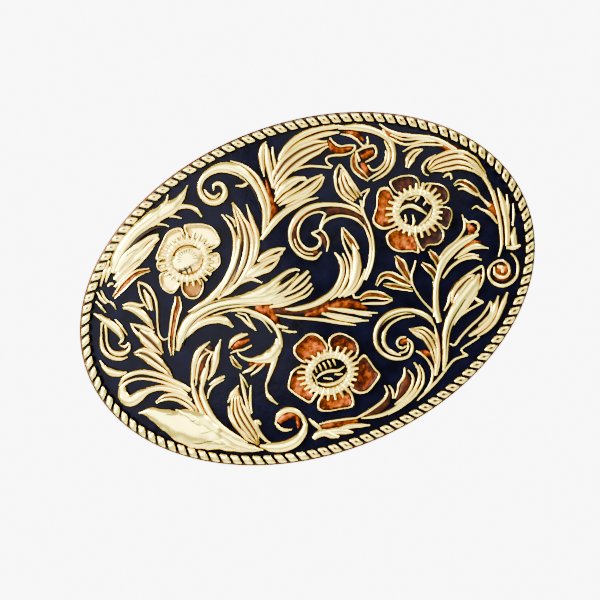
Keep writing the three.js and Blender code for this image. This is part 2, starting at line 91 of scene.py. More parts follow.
def ramp(tree, stops, source, output):
    """A colour ramp of (place, hex colour) stops, fed from a node's output."""
    made = node(tree, "ShaderNodeValToRGB", links={"Fac": (source, output)})
    elements = made.color_ramp.elements
    while len(elements) < len(stops):
        elements.new(1)
    for element, (place, colour) in zip(elements, stops):
        element.position = place
        element.color = linear(colour)
    return made


def new_material(name):
    """A material with an empty node tree, as (material, tree)."""
    made = bpy.data.materials.new(name)
    made.use_nodes = True
    made.node_tree.nodes.clear()
    return made, made.node_tree


def finish_material(tree, shader):
    """Sends the shader to the material's output."""
    output = node(tree, "ShaderNodeOutputMaterial")
    tree.links.new(shader.outputs[0], output.inputs["Surface"])


def bent(x, height, z):
    """A point over the plate's back, moved onto the curve of the plate, in metres."""
    radius = BEND_RADIUS + height
    return Vector((x, BEND_RADIUS - math.sqrt(radius * radius - x * x), z)) * MM


def bend_with_plate(bm):
    """Bends a flat piece, held as (x, -height, z) in millimetres, to the plate's curve."""
    for vert in bm.verts:
        vert.co = bent(vert.co.x, -vert.co.y, vert.co.z)


def finish_piece(name, bm, material, replaced, body="buckle", sharp=40):
    """Makes the mesh an object that stands for its CAD nodes and rides on their body."""
    mesh = bpy.data.meshes.new(name)
    bm.to_mesh(mesh)
    bm.free()
    mesh.materials.append(material)
    mesh.polygons.foreach_set("use_smooth", [True] * len(mesh.polygons))
    mesh.set_sharp_from_angle(angle=math.radians(sharp))
    piece = bpy.data.objects.new(name, mesh)
    bpy.context.collection.objects.link(piece)
    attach(piece, body)
    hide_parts(*replaced)
    return piece


def extrude(bm, faces):
    """Extrudes faces and returns the new (points, faces)."""
    made = bmesh.ops.extrude_face_region(bm, geom=faces)["geom"]
    points = [g for g in made if isinstance(g, bmesh.types.BMVert)]
    return points, [g for g in made if isinstance(g, bmesh.types.BMFace)]


def oval_slab(half_x, half_z, back, front, rim):
    """An oval plate between two heights with rounded edges, cut into strips so that it can bend."""
    strip = 2
    bm = bmesh.new()
    bmesh.ops.create_circle(bm, cap_ends=True, segments=192, radius=1)
    bmesh.ops.rotate(bm, verts=bm.verts, matrix=Matrix.Rotation(math.pi / 2, 3, "X"))
    bmesh.ops.scale(bm, verts=bm.verts, vec=(half_x, 1, half_z))
    bmesh.ops.translate(bm, verts=bm.verts, vec=(0, -back, 0))
    raised, _ = extrude(bm, bm.faces[:])
    bmesh.ops.translate(bm, verts=raised, vec=(0, back - front, 0))
    edges = [e for e in bm.edges if abs(e.verts[0].co.y - e.verts[1].co.y) < 1e-4]
    bmesh.ops.bevel(
        bm, geom=edges, offset=rim, segments=4, profile=0.5, affect="EDGES", material=-1,
    )
    cuts = int(half_x / strip)
    for i in range(-cuts, cuts + 1):
        bmesh.ops.bisect_plane(
            bm, geom=bm.verts[:] + bm.edges[:] + bm.faces[:], dist=1e-5,
            plane_co=(i * strip, 0, 0), plane_no=(1, 0, 0),
        )
    bmesh.ops.recalc_face_normals(bm, faces=bm.faces)
    return bm


def brushed_gold_plate():
    """Gold-plated brass, brushed along the plate: fine long scratches, a soft satin shine."""
    made, tree = new_material("brushed_gold_plate")
    place = node(tree, "ShaderNodeTexCoord")
    # Brush marks 0.12 mm apart and some 8 mm long, running along X.
    along = node(tree, "ShaderNodeMapping", {"Scale": (120, 8000, 8000)}, {"Vector": (place, "Object")})
    marks = node(tree, "ShaderNodeTexNoise", {"Scale": 1, "Detail": 3}, {"Vector": (along, "Vector")})
    cloud = node(
        tree, "ShaderNodeTexNoise", {"Scale": 90, "Detail": 4}, {"Vector": (place, "Object")},
    )
    colour = ramp(tree, [(0.3, "#b17d2b"), (0.7, "#c79440")], cloud, "Fac")
    rough = node(
        tree, "ShaderNodeMapRange", {"To Min": 0.24, "To Max": 0.44}, {"Value": (marks, "Fac")},
    )
    bump = node(
        tree, "ShaderNodeBump", {"Strength": 0.25, "Distance": 0.00003}, {"Height": (marks, "Fac")},
    )
    # The front and its rim are left dark with patina; the back and the edge are polished.
    polish_and_painted_light = node(tree, "ShaderNodeAttribute", {"attribute_name": "polish_and_painted_light"})
    mixed = node(tree, "ShaderNodeMix", {"data_type": "RGBA"}, {"Factor": (polish_and_painted_light, "Fac")})
    mixed.inputs["A"].default_value = linear("#3a1d08")
    tree.links.new(colour.outputs["Color"], mixed.inputs["B"])
    shader = node(
        tree, "ShaderNodeBsdfPrincipled", {"Metallic": 1},
        {"Base Color": (mixed, "Result"), "Roughness": (rough, "Result"), "Normal": (bump, "Normal")},
    )
    finish_material(tree, shader)
    return made


plate = oval_slab(HALF_LENGTH, HALF_HEIGHT, 0, PLATE_THICKNESS, rim=PLATE_RIM)
polished = plate.verts.layers.float.new("polish_and_painted_light")
for vert in plate.verts:
    vert[polished] = 0 if -vert.co.y > PATINA_FROM else 1
bend_with_plate(plate)
finish_piece("back_plate_shown", plate, brushed_gold_plate(), ["back_plate"])

# --- Enamel ground ----------------------------------------------------------------------------
# Black cold enamel with a breath of navy in it, poured between the scrolls and polished level.
# It is glossy, with the faint waves of a surface that has set by itself.
GROUND = 2.6
ENAMEL_INSET = 0.55


def black_enamel():
    """Glossy filled resin: nearly black, a little blue, with soft waves about 3 mm long."""
    made, tree = new_material("black_cold_enamel")
    place = node(tree, "ShaderNodeTexCoord")
    waves = node(
        tree, "ShaderNodeTexNoise", {"Scale": 330, "Detail": 3}, {"Vector": (place, "Object")},
    )
    colour = ramp(tree, [(0.3, "#010104"), (0.75, "#040411")], waves, "Fac")
    rough = node(
        tree, "ShaderNodeMapRange", {"To Min": 0.1, "To Max": 0.24}, {"Value": (waves, "Fac")},
    )
    bump = node(
        tree, "ShaderNodeBump", {"Strength": 0.5, "Distance": 0.00012}, {"Height": (waves, "Fac")},
    )
    shader = node(
        tree, "ShaderNodeBsdfPrincipled", {"IOR": 1.42, "Specular IOR Level": 0.04},
        {"Base Color": (colour, "Color"), "Roughness": (rough, "Result"), "Normal": (bump, "Normal")},
    )
    finish_material(tree, shader)
    return made


ground = oval_slab(
    HALF_LENGTH - ENAMEL_INSET, HALF_HEIGHT - ENAMEL_INSET, PLATE_THICKNESS - 0.1, GROUND, rim=0.1,
)
bend_with_plate(ground)
finish_piece("enamel_ground_shown", ground, black_enamel(), ["enamel_ground"])

# --- Rope edge --------------------------------------------------------------------------------
# A twisted gold border: a round wire pair, rolled flat, soldered on the plate all round the enamel.
# Each turn is a slanted pillow with gaps between painted dark, painted shade with patina, dented on its
# crown except at the lower left. Each turn is painted lighter towards its top; a dent is painted dark, a
# painted dark reflection, and the whole crowns at the lower left are painted full bright, a painted
# highlight where the light falls brightest.
ROPE_TURNS = 112
ROPE_INSET = 0.4
ROPE_WIDTH = 1.9
ROPE_HEIGHT = 2.1
ROPE_SLANT = 0.6
TURN_REACH = 0.88 * ROPE_WIDTH
TURN_SHARE = 0.75


def antique_gold():
    """Bright gold plate over dark patina, with light painted in by tone: 0 is a cleft, patina with painted
    shade; 1 a polished crest with a painted highlight; warm is copper.
    """
    made, tree = new_material("antique_gold_plate")
    place = node(tree, "ShaderNodeTexCoord")
    tone = node(tree, "ShaderNodeAttribute", {"attribute_name": "tone"})
    warm = node(tree, "ShaderNodeAttribute", {"attribute_name": "warm"})
    # Patina clouds of about 4 mm, cast grain of about 0.15 mm.
    cloud = node(
        tree, "ShaderNodeTexNoise", {"Scale": 240, "Detail": 4}, {"Vector": (place, "Object")},
    )
    grain = node(
        tree, "ShaderNodeTexNoise", {"Scale": 5000, "Detail": 3}, {"Vector": (place, "Object")},
    )
    worn = node(
        tree, "ShaderNodeMapRange", {"From Min": 0.3, "From Max": 0.75, "To Min": -0.06, "To Max": 0.1},
        {"Value": (grain, "Fac")},
    )
    height = node(
        tree, "ShaderNodeMath", {"operation": "ADD"}, {0: (tone, "Fac"), 1: (worn, "Result")},
    )
    # Painted light: the low tones are patina with painted shade, the pale yellow top a painted highlight.
    gold = ramp(
        tree,
        [(0.0, "#060201"), (0.25, "#241004"), (0.5, "#8e5c20"), (0.75, "#f6c22a"), (1.0, "#fff05a")],
        height, "Value",
    )
    # The copper plate is thinner: dark blots of about 1 mm and bright scuffs show in it.
    blot = node(
        tree, "ShaderNodeTexNoise", {"Scale": 900, "Detail": 5, "Roughness": 0.65},
        {"Vector": (place, "Object")},
    )
    blotted = node(
        tree, "ShaderNodeMapRange", {"From Min": 0.36, "From Max": 0.64, "To Min": -0.25, "To Max": 0.1},
        {"Value": (blot, "Fac")},
    )
    copper_height = node(
        tree, "ShaderNodeMath", {"operation": "ADD"}, {0: (height, "Value"), 1: (blotted, "Result")},
    )
    # Painted light as in the gold: dark patina and painted shade low, a painted highlight at the top.
    copper = ramp(
        tree,
        [(0.0, "#080201"), (0.25, "#341004"), (0.5, "#8a3c0a"), (0.75, "#c46c18"), (1.0, "#ec9e38")],
        copper_height, "Value",
    )
    tint = node(
        tree, "ShaderNodeMapRange", {"From Min": 0.5, "From Max": 0.72, "To Min": 0, "To Max": 0.28},
        {"Value": (cloud, "Fac")},
    )
    blend = node(
        tree, "ShaderNodeMath", {"operation": "MAXIMUM"}, {0: (warm, "Fac"), 1: (tint, "Result")},
    )
    colour = node(tree, "ShaderNodeMix", {"data_type": "RGBA"}, {"Factor": (blend, "Value")})
    tree.links.new(gold.outputs["Color"], colour.inputs["A"])
    tree.links.new(copper.outputs["Color"], colour.inputs["B"])
    metal = node(
        tree, "ShaderNodeMapRange", {"From Min": 0.05, "From Max": 0.35}, {"Value": (height, "Value")},
    )
    rough = node(
        tree, "ShaderNodeMapRange",
        {"From Min": 0.1, "From Max": 0.8, "To Min": 0.45, "To Max": 0.15}, {"Value": (height, "Value")},
    )
    bump = node(
        tree, "ShaderNodeBump", {"Strength": 0.3, "Distance": 0.00004}, {"Height": (grain, "Fac")},
    )
    shader = node(
        tree, "ShaderNodeBsdfPrincipled", {"Specular IOR Level": 0.1},
        {
            "Base Color": (colour, "Result"), "Metallic": (metal, "Result"),
            "Roughness": (rough, "Result"), "Normal": (bump, "Normal"),
        },
    )
    finish_material(tree, shader)
    return made


ANTIQUE_GOLD = antique_gold()


def new_relief():
    """A bmesh whose points carry tone, from cleft to crest, patina and painted shade up to a painted
    highlight, and warm, from gold to copper.
    """
    bm = bmesh.new()
    return bm, bm.verts.layers.float.new("tone"), bm.verts.layers.float.new("warm")


def oval_places(half_x, half_z, count):
    """Evenly spaced points on an oval, as (x, z, outward direction)."""
    fine = 4000
    angles = [2 * math.pi * i / fine for i in range(fine + 1)]
    points = [Vector((half_x * math.cos(a), half_z * math.sin(a))) for a in angles]
    total = sum((points[i + 1] - points[i]).length for i in range(fine))
    places, walked = [], 0
    for i in range(fine):
        if walked >= len(places) * total / count and len(places) < count:
            out = Vector((math.cos(angles[i]) / half_x, math.sin(angles[i]) / half_z)).normalized()
            places.append((points[i].x, points[i].y, out))
        walked += (points[i + 1] - points[i]).length
    return places, total / count


def rope_pillow(dented):
    """One turn of the rope, one wide and one long: a rounded slab, some with a dented crown."""
    bm, tone, warm = new_relief()
    bmesh.ops.create_cube(bm, size=1)
    bmesh.ops.bevel(
        bm, geom=bm.edges[:], offset=0.2, segments=2, profile=0.5, affect="EDGES", material=-1,
    )
    crown = max(bm.faces, key=lambda f: f.calc_center_median().z)
    bmesh.ops.inset_region(bm, faces=[crown], thickness=0.18, depth=0)
    bmesh.ops.inset_region(bm, faces=[crown], thickness=0.03, depth=-0.06 if dented else 0.02)
    # Painted light and shade: lighter towards the top, a painted highlight, and dark down the sides, the
    # painted shade of the gaps with patina.
    for vert in bm.verts:
        vert[tone] = min(1, max(0, 0.9 + 1.5 * vert.co.z))
        if max(abs(vert.co.x), abs(vert.co.y)) > 0.45:
            vert[tone] = min(vert[tone], 0.12)
    for vert in crown.verts:
        # The crown is painted: a dent dark, a painted dark reflection; a whole crown full bright, a painted
        # highlight.
        vert[tone] = 0.3 if dented else 1
    mesh = bpy.data.meshes.new("rope_pillow")
    bm.to_mesh(mesh)
    bm.free()
    return mesh


plain_turn, dented_turn = rope_pillow(False), rope_pillow(True)
rope = new_relief()[0]
middle = ROPE_INSET + ROPE_WIDTH / 2
places, spacing = oval_places(HALF_LENGTH - middle, HALF_HEIGHT - middle, ROPE_TURNS)
for x, z, out in places:
    before = len(rope.verts)
    # At the lower left, where the light falls brightest, the turns are whole and their crowns painted full
    # bright: a painted highlight.
    lower_left = x < -12 and z < 12
    rope.from_mesh(plain_turn if lower_left else dented_turn)
    rope.verts.ensure_lookup_table()
    along = Vector((-out.y, out.x))
    for vert in rope.verts[before:]:
        outward = vert.co.x * TURN_REACH
        sideways = vert.co.y * spacing * TURN_SHARE + vert.co.x * ROPE_SLANT * ROPE_WIDTH
        vert.co = Vector((
            x + out.x * outward + along.x * sideways,
            -(PLATE_THICKNESS + ROPE_HEIGHT / 2 + vert.co.z * ROPE_HEIGHT),
            z + out.y * outward + along.y * sideways,
        ))
bmesh.ops.recalc_face_normals(rope, faces=rope.faces)
bend_with_plate(rope)
finish_piece("rope_edge_shown", rope, ANTIQUE_GOLD, ["rope_edge"], sharp=60)

# --- Carving ----------------------------------------------------------------------------------
# The overlays are sawn from thick gold sheet and carved: round ribs, grooved leaves, hollow bands
# with bright rims, and copper-coloured floors. Each is a section carried along a smooth line.
# A section's points are (across from -1 to 1, height from 0 to 1, tone); the tone paints light, low for
# patina and painted shade, 1 for a painted highlight. Strokes start SUNK below the ground, and are SWELL
# times as wide as listed, so that the crest painted bright has the listed width.
SUNK = 0.15
SWELL = 1.34
CARVING_SHARP = 75
# A rib is painted by tone: a painted highlight along the crown, painted shade down the flanks with patina at
# the foot.
RIB = [
    (-1, 0, 0), (-0.93, 0.34, 0.08), (-0.78, 0.66, 0.4), (-0.6, 0.86, 0.9), (-0.3, 0.97, 1), (0, 1, 1),
    (0.3, 0.97, 1), (0.6, 0.86, 0.9), (0.78, 0.66, 0.4), (0.93, 0.34, 0.08), (1, 0, 0),
]
# A hollow band: rims painted bright, a painted highlight; the floor darker, patina with painted shade.
HOLLOW = [
    (-1, 0, 0), (-0.98, 0.7, 0.5), (-0.86, 1, 1), (-0.55, 0.98, 1), (-0.44, 0.6, 0.12),
    (-0.2, 0.5, 0.34), (0.2, 0.5, 0.34), (0.44, 0.6, 0.12), (0.55, 0.98, 1), (0.86, 1, 1),
    (0.98, 0.7, 0.5), (1, 0, 0),
]
# A floor is painted darker at its edges, where it meets the walls: patina with painted shade.
FLOOR = [(-1, 0, 0.1), (-0.9, 0.8, 0.2), (-0.3, 1, 0.43), (0.3, 1, 0.43), (0.9, 0.8, 0.2), (1, 0, 0.1)]
# A thin strip painted nearly black: the painted shade and patina of a chased groove.
CHASED_LINE_SHADE = [(-1, 0, 0.1), (-0.8, 1, 0.05), (0.8, 1, 0.05), (1, 0, 0.1)]
# A floor painted half as bright: painted shade with patina in the recess.
SHADED = [(side, height, tone * 0.5) for side, height, tone in FLOOR]


def grooved_section(ridges):
    """A domed band with that many ridges, each crest painted bright, a painted highlight, between grooves
    painted dark, patina with painted shade.
    """
    section = [(-1, 0, 0)]
    for i in range(ridges):
        for share, drop, tone in (
            (0.1, 0.34, 0.1), (0.27, 0.08, 0.9), (0.5, 0, 1), (0.73, 0.08, 0.9), (0.9, 0.34, 0.1),
        ):
            across = -1 + 2 * (i + share) / ridges
            section.append((across, max(0.3, 1 - 0.3 * across * across - drop), tone))
    return section + [(1, 0, 0)]


def between(a, b, c, d, t):
    """The place at t on a Catmull-Rom curve from b to c, coming from a and going to d."""
    return 0.5 * (
        2 * b + (c - a) * t + (2 * a - 5 * b + 4 * c - d) * t * t + (3 * b - a - 3 * c + d) * t ** 3
    )


def smooth_line(points, step):
    """A Catmull-Rom line through the points, as (place, unit tangent, share of the length)."""
    line = [Vector(p) for p in points]
    ends = [2 * line[0] - line[1]] + line + [2 * line[-1] - line[-2]]
    places = []
    for i in range(len(line) - 1):
        a, b, c, d = ends[i:i + 4]
        cuts = max(2, math.ceil((c - b).length / step))
        for k in range(cuts + (i == len(line) - 2)):
            places.append(between(a, b, c, d, k / cuts))
    last = len(places) - 1
    stations = []
    for i, place in enumerate(places):
        tangent = (places[min(i + 1, last)] - places[max(i - 1, 0)]).normalized()
        stations.append((place, tangent, i / last))
    return stations


def width_at(widths, share):
    """The width at a share of the line's length, eased between evenly spaced widths."""
    at = share * (len(widths) - 1)
    i = min(int(at), len(widths) - 2)
    t = at - i
    return widths[i] + (widths[i + 1] - widths[i]) * t * t * (3 - 2 * t)


def join(relief, bm):
    """Adds a closed body to the relief and frees it."""
    bmesh.ops.recalc_face_normals(bm, faces=bm.faces)
    mesh = bpy.data.meshes.new("body")
    bm.to_mesh(mesh)
    bm.free()
    relief[0].from_mesh(mesh)
    bpy.data.meshes.remove(mesh)


def carve(relief, section, points, widths, rise, copper=0.0, floor_height=GROUND, step=0.45):
    """Carries a section along a line, from cap to cap, as one closed body of the relief."""
    bm, tone, warm = new_relief()
    widest = max(widths)
    face, inner = None, []
    for place, tangent, share in smooth_line(points, step):
        width = width_at(widths, share) * SWELL
        # A rib sinks towards the ground where it gets narrow.
        top = SUNK + rise * min(1, 0.35 + 0.65 * math.sqrt(width / widest / SWELL))
        across = Vector((-tangent.y, tangent.x)) * width / 2
        if face is None:
            face = bm.faces.new([bm.verts.new() for _ in section])
        else:
            inner.append(face)
            face = extrude(bm, [face])[1][0]
        # On a wide rib the rounded edges stay about 0.3 mm and the crown gets flatter.
        edge = min(1, 1.5 / width) if section is RIB else 1
        for vert, (side, height, shade) in zip(face.verts, section):
            if abs(side) > 0.5:
                side = math.copysign(1 - (1 - abs(side)) * edge, side)
            spot = place + across * side
            vert.co = (spot.x, -(floor_height - SUNK + top * height), spot.y)
            vert[tone] = shade
            vert[warm] = copper if shade < 0.8 else 0
    bmesh.ops.delete(bm, geom=inner[1:], context="FACES_ONLY")
    join(relief, bm)


# Each kind of stroke is (section, points, widths, rise, how coppery).
def rib(widths, *points, rise=None):
    """A rounded rib, its crest painted bright and its flanks painted darker, higher where it is wide."""
    return RIB, points, widths, rise or 0.55 + 0.32 * min(2.4, max(widths)), 0.0


def hollow(widths, *points):
    """A coppery band between two rims painted bright, a painted highlight."""
    return HOLLOW, points, widths, 0.85, 0.9


def copper(widths, *points):
    """A low copper-coloured floor."""
    return FLOOR, points, widths, 0.5, 1.0


def line(width, *points, rise=1.34):
    """A chased line: a thin strip painted dark, the painted shade and patina of a chased groove, that just
    shows above the rib it lies on.
    """
    return CHASED_LINE_SHADE, points, (0.1, width / SWELL, width / SWELL, 0.1), rise, 0.3


def umber(widths, *points):
    """A low floor, painted dark: patina with painted shade in the recess."""
    return SHADED, points, widths, 0.4, 0.6


def grooved(ridges, widths, *points):
    """A leaf with that many fine ridges along it."""
    return grooved_section(ridges), points, widths, 1.3, 0.0


def finish_relief(name, relief):
    """Bends a carved relief to the plate and puts it in place of its plain CAD node."""
    bend_with_plate(relief[0])
    finish_piece(f"{name}_shown", relief[0], ANTIQUE_GOLD, [name], sharp=CARVING_SHARP)


def carve_all(relief, strokes, floor_height=GROUND):
    """Carves every stroke of a list on one relief."""
    for section, points, widths, rise, warmth in strokes:
        carve(relief, section, points, widths, rise, warmth, floor_height)


def overlay(name, strokes):
    """One carved overlay, made of its strokes."""
    relief = new_relief()
    carve_all(relief, strokes)
    finish_relief(name, relief)


# --- Overlays of the left end -----------------------------------------------------------------
# Leaf sprays, a bud, an open teardrop and a looped scroll, all gold, with deep cuts between.
overlay("leaf_spray_upper_left", [
    rib((1.4, 2.2, 2.3, 2.2, 2.4, 2.6, 1.5, 0.3), (-35.3, 17.4), (-33.4, 19.6), (-31, 21.6),
        (-28.3, 23.1), (-25.3, 24.1), (-22.5, 25), (-20.5, 26.2), (-19.2, 27.8)),
    rib((2, 2.3, 1.4, 0.3), (-22.5, 24.6), (-19.5, 25.2), (-17, 26.3), (-14.8, 28.1)),
    rib((1.2, 1.1, 0.9, 0.9, 0.5), (-20, 24.5), (-18, 24.7), (-16.2, 24.1), (-15, 22.9), (-14.5, 21.2)),
    rib((0.5, 0.8, 0.6, 0.3), (-25.4, 23.4), (-23.4, 23.1), (-22, 22.4), (-21.4, 21.8)),
    rib((0.6, 0.5, 0.3), (-20.6, 23.8), (-19.4, 23.2), (-18.4, 22.4)),
    rib((1.6, 2.4, 2, 1.2, 0.8), (-34.4, 17.2), (-31.5, 19.2), (-28.6, 20.4), (-25.8, 21.2), (-24, 21.1)),
    rib((1.2, 1.7, 1.6, 1.2, 1), (-35.4, 15.9), (-32.5, 17.3), (-29, 18.5), (-26.5, 19.6), (-24.2, 20.5)),
    rib((0.6, 0.7, 0.6, 0.5, 0.3), (-36, 14.6), (-33, 15.9), (-30, 17), (-27.4, 18.2), (-25.5, 19.4)),
    hollow((0.6, 1.3, 1.2, 0.6), (-37, 12.7), (-34.2, 14.2), (-31, 15.4), (-28.2, 15.2)),
    rib((0.4, 0.8, 0.5), (-38.7, 15.8), (-37.2, 17.8), (-35.2, 19.8)),
    rib((0.4, 0.9, 0.4), (-37.4, 16.2), (-36, 17.9), (-34.5, 19.3)),
    rib((0.4, 0.6, 0.4), (-39.8, 14.9), (-39.6, 13.4), (-39, 12.1)),
    rib((0.3, 0.5, 0.4), (-38.9, 14.9), (-38.8, 13.4), (-38.4, 12.2)),
    rib((0.4, 0.6, 0.3), (-40.7, 13.2), (-40.2, 11.9), (-39.7, 10.5)),
    rib((0.5, 0.5, 0.3), (-38.1, 12.2), (-37.6, 11.2), (-37.5, 10.3)),
    rib((0.5, 0.6, 0.5), (-37.3, 15.2), (-36.7, 15.5), (-36.1, 15.3)),
    line(0.62, (-32.6, 19.5), (-30, 20.9), (-27.3, 22.1), (-24.3, 22.6), (-21.8, 21.9)),
    line(0.24, (-34.2, 18.6), (-31.7, 20.3), (-29, 21.2)),
    line(0.3, (-32.6, 18.9), (-30.6, 19.7), (-28, 20.2)),
    line(0.3, (-32, 17.1), (-30.6, 17.6), (-29, 17.8)),
    line(0.22, (-31, 22), (-27.8, 23.7), (-24, 24.7), (-21, 25.8)),
])
overlay("bud_left", [
    rib((0.5, 0.7, 0.7, 0.6, 0.5, 0.4, 0.4, 0.5, 0.3), (-31.3, 13.7), (-30.2, 12.8), (-29.4, 11),
        (-29.3, 9), (-29.9, 6.8), (-30.6, 4.8), (-31.2, 2.4), (-30.8, 1.1), (-29.7, 1)),
    rib((0.4, 0.4, 0.3), (-31.4, 13.4), (-31.8, 10.8), (-31.4, 7.8)),
    rib((0.5, 1.1, 0.7), (-30.8, 11.8), (-30.6, 9.8), (-30.8, 7.5)),
    rib((0.6, 1.3, 1.5, 1.2, 0.4), (-36, 10), (-34.5, 9.3), (-33.2, 7.8), (-32.3, 5.8), (-31.9, 3.8)),
    rib((0.4, 0.7, 0.8, 0.5), (-35.8, 10.5), (-34.2, 10.3), (-32.8, 9.3), (-31.6, 9)),
    grooved(2, (1.6, 2.9, 2.6, 0.8), (-34.7, 4.4), (-33.8, 2.8), (-32.9, 0.9), (-32, -1.5)),
    rib((0.3, 0.6, 0.8), (-35.8, 6.5), (-35.6, 5), (-35, 3.4)),
    rib((0.3, 0.8, 0.9, 1), (-35.8, 6.5), (-34.4, 5.4), (-33.2, 4.4), (-32.3, 3)),
])
overlay("teardrop_left", [
    rib((0.4, 0.8, 0.9, 0.8, 0.7, 0.3), (-42.4, 6.4), (-43, 4.2), (-42.7, 2.5), (-41.5, 1.2), (-40, 0.5),
        (-38.9, 0.5)),
    rib((0.5, 0.6, 0.5, 0.5, 0.6, 0.9, 1, 0.7, 0.3), (-41.4, 8.6), (-40.6, 8.6), (-41.1, 6.6),
        (-41.7, 4.8), (-41.7, 3.2), (-40.8, 2), (-39.3, 1.5), (-38, 1.8), (-37.5, 2.8)),
    rib((0.5, 0.4, 0.4), (-41.2, 8.8), (-41.9, 7.4), (-42.4, 6)),
    rib((0.5, 1.1, 1.4, 1.4, 1.1, 0.4), (-42, 11.1), (-40.8, 9.6), (-39.6, 7.8), (-38.7, 5.9),
        (-38.5, 4.3), (-39.5, 3.6)),
    rib((0.3, 0.5, 0.3), (-38.4, 8.4), (-37.8, 6.8), (-37.3, 4.7)),
    rib((0.3, 0.5, 0.4), (-39.4, 3.2), (-38.6, 2.6), (-37.6, 3)),
    rib((0.3, 1, 1.4, 1.2, 0.4), (-44.4, 1.9), (-44.1, 0.2), (-43.2, -1.1), (-41.8, -2), (-40.2, -2.3)),
])
overlay("scroll_lower_left", [
    rib((0.4, 0.8, 0.9, 0.9, 1, 1, 1, 1.1, 0.9), (-42.6, -4.3), (-41.3, -3.3), (-39.5, -3),
        (-37.5, -3.3), (-35.6, -4.3), (-34, -5.5), (-32.6, -6.8), (-31.2, -8.3), (-29.5, -10.4)),
    rib((0.9, 0.6, 0.5, 0.5, 0.6, 0.7, 0.7, 0.4), (-42.6, -5), (-41, -4.3), (-39, -4.3), (-37, -5),
        (-35, -6.2), (-33.2, -7.6), (-31.5, -9.3), (-30.4, -10.9)),
    rib((1.4, 1.9, 2, 1.8, 1.2, 1.1, 1.1, 1.1, 0.9, 0.4), (-42.2, -4.9), (-42.6, -6.4), (-42, -7.8),
        (-40.6, -8), (-38.6, -7.5), (-36.6, -7.4), (-34.6, -7.9), (-32.6, -9.1), (-31, -10.8),
        (-30, -12.4)),
    grooved(2, (0.7, 2.1, 2.4, 2.1, 1.3, 0.3), (-37.3, 0.6), (-35.6, 0), (-34.3, -1.7), (-33.2, -3.6),
            (-32.4, -5.2), (-31.9, -6.7)),
    grooved(2, (0.5, 1.3, 1.6, 1.5, 1.2, 0.5), (-36.9, -10.2), (-34.8, -9.9), (-32.8, -10.6),
            (-31.3, -12.2), (-30.3, -14), (-29.8, -15.8)),
])
overlay("leaf_lower_left", [
    rib((0.4, 2.3, 3.6, 5.4, 5.8, 4.4, 2.4, 1.2, 0.4), (-40.9, -10.9), (-38.9, -11.6), (-37, -13.4),
        (-34.8, -15.5), (-32.1, -17.6), (-29.9, -19.8), (-27.4, -22.4), (-25, -24.8), (-22.2, -26.5),
        rise=1.2),
    rib((0.4, 1.6, 1.9, 0.6), (-32.6, -20.9), (-30.2, -21.2), (-28, -22.3), (-26, -24), rise=1.1),
    rib((0.4, 1.4, 1.6, 1, 0.4), (-33.6, -13), (-31.9, -14.8), (-30.7, -16.8), (-29.6, -18.9),
        (-28.4, -20.9), rise=1.25),
    line(0.25, (-36.2, -13.2), (-35.5, -13.3), (-34.6, -13.8), rise=1.3),
    line(0.35, (-31.9, -16.1), (-31.2, -16.4), (-30.5, -16.3), rise=1.35),
    line(0.25, (-31, -19.2), (-29.6, -19.5), (-28, -19.6), rise=1.35),
    line(0.25, (-33.4, -20.3), (-31.6, -21.2), (-29.5, -21.4), (-27.4, -23), rise=1.25),
])
overlay("stem_lower_left", [
    rib((0.4, 1, 1, 1, 1, 1, 1.3, 1.6, 1.4, 0.4), (-28.4, -8.8), (-28.9, -11), (-29, -13.5),
        (-28.8, -16), (-28.2, -18.3), (-27.2, -20.3), (-25.8, -22.3), (-24, -24.4), (-22, -26),
        (-20.2, -26.9)),
    rib((0.8, 1.1, 1.2, 1.2, 1.2, 1.1, 0.3), (-26.9, -10.2), (-27.6, -12), (-27.6, -15), (-27.2, -17.6),
        (-26.2, -20), (-24.5, -22.4), (-22.6, -24.4)),
    rib((0.6, 1.7, 1.9, 1.8, 1.4, 0.9), (-20.4, -25.9), (-18.5, -27), (-16, -27.8), (-13.5, -27.7),
        (-11.5, -26.7), (-10.3, -25.2)),
    rib((0.9, 0.9, 1, 1.1, 1, 0.4), (-10.4, -25.4), (-10.4, -23.6), (-11.3, -21.9), (-12.9, -21.1),
        (-14.7, -21.5), (-15.8, -22.7)),
    rib((0.5, 0.7, 0.7, 0.3), (-15.9, -22.6), (-15.5, -24), (-14.6, -24.8), (-13.3, -25.2)),
    copper((0.9, 1.3, 1.1, 0.8, 0.4), (-15.2, -22.9), (-13.6, -22.3), (-12, -22.6), (-11.5, -24),
           (-12, -25.4)),
    rib((0.4, 0.8, 0.9, 1, 1.1, 0.8, 0.3), (-28.9, -9.6), (-28, -8), (-27.2, -6.3), (-26.2, -4.8),
        (-25, -3.7), (-23.6, -3.1), (-22.2, -2.7)),
    rib((0.3, 0.5, 0.5, 0.3), (-23.6, -3.8), (-23, -4.6), (-22.2, -5.1), (-21.4, -4.9)),
    rib((0.7, 1.2, 1.1, 0.4), (-26.9, -10.6), (-26.2, -9.2), (-25.2, -7.9), (-24.2, -6.9)),
    rib((0.3, 1.1, 1.4, 1, 0.3), (-25.3, -9.7), (-23.9, -8.6), (-22.7, -6.9), (-21.5, -5), (-20, -3.2)),
    rib((0.3, 0.5, 0.6, 0.5, 0.3), (-28, -9.8), (-26.9, -7.6), (-25.7, -5.8), (-24.4, -4.8),
        (-23.2, -4.6)),
    rib((0.3, 0.5, 0.5, 0.3), (-26.2, -9.4), (-24.9, -7.5), (-23.8, -6), (-22.6, -5)),
    umber((0.8, 2, 2.4, 1), (-27.6, -9.4), (-26, -7), (-24.2, -5), (-22.4, -3.8)),
    rib((0.3, 0.7, 0.5), (-25.4, -10.8), (-23.8, -10.4), (-22, -10.3)),
    rib((0.3, 0.5, 0.5, 0.3), (-26.8, -13.2), (-25.9, -11.9), (-24.4, -11.1), (-22.4, -10.9)),
])
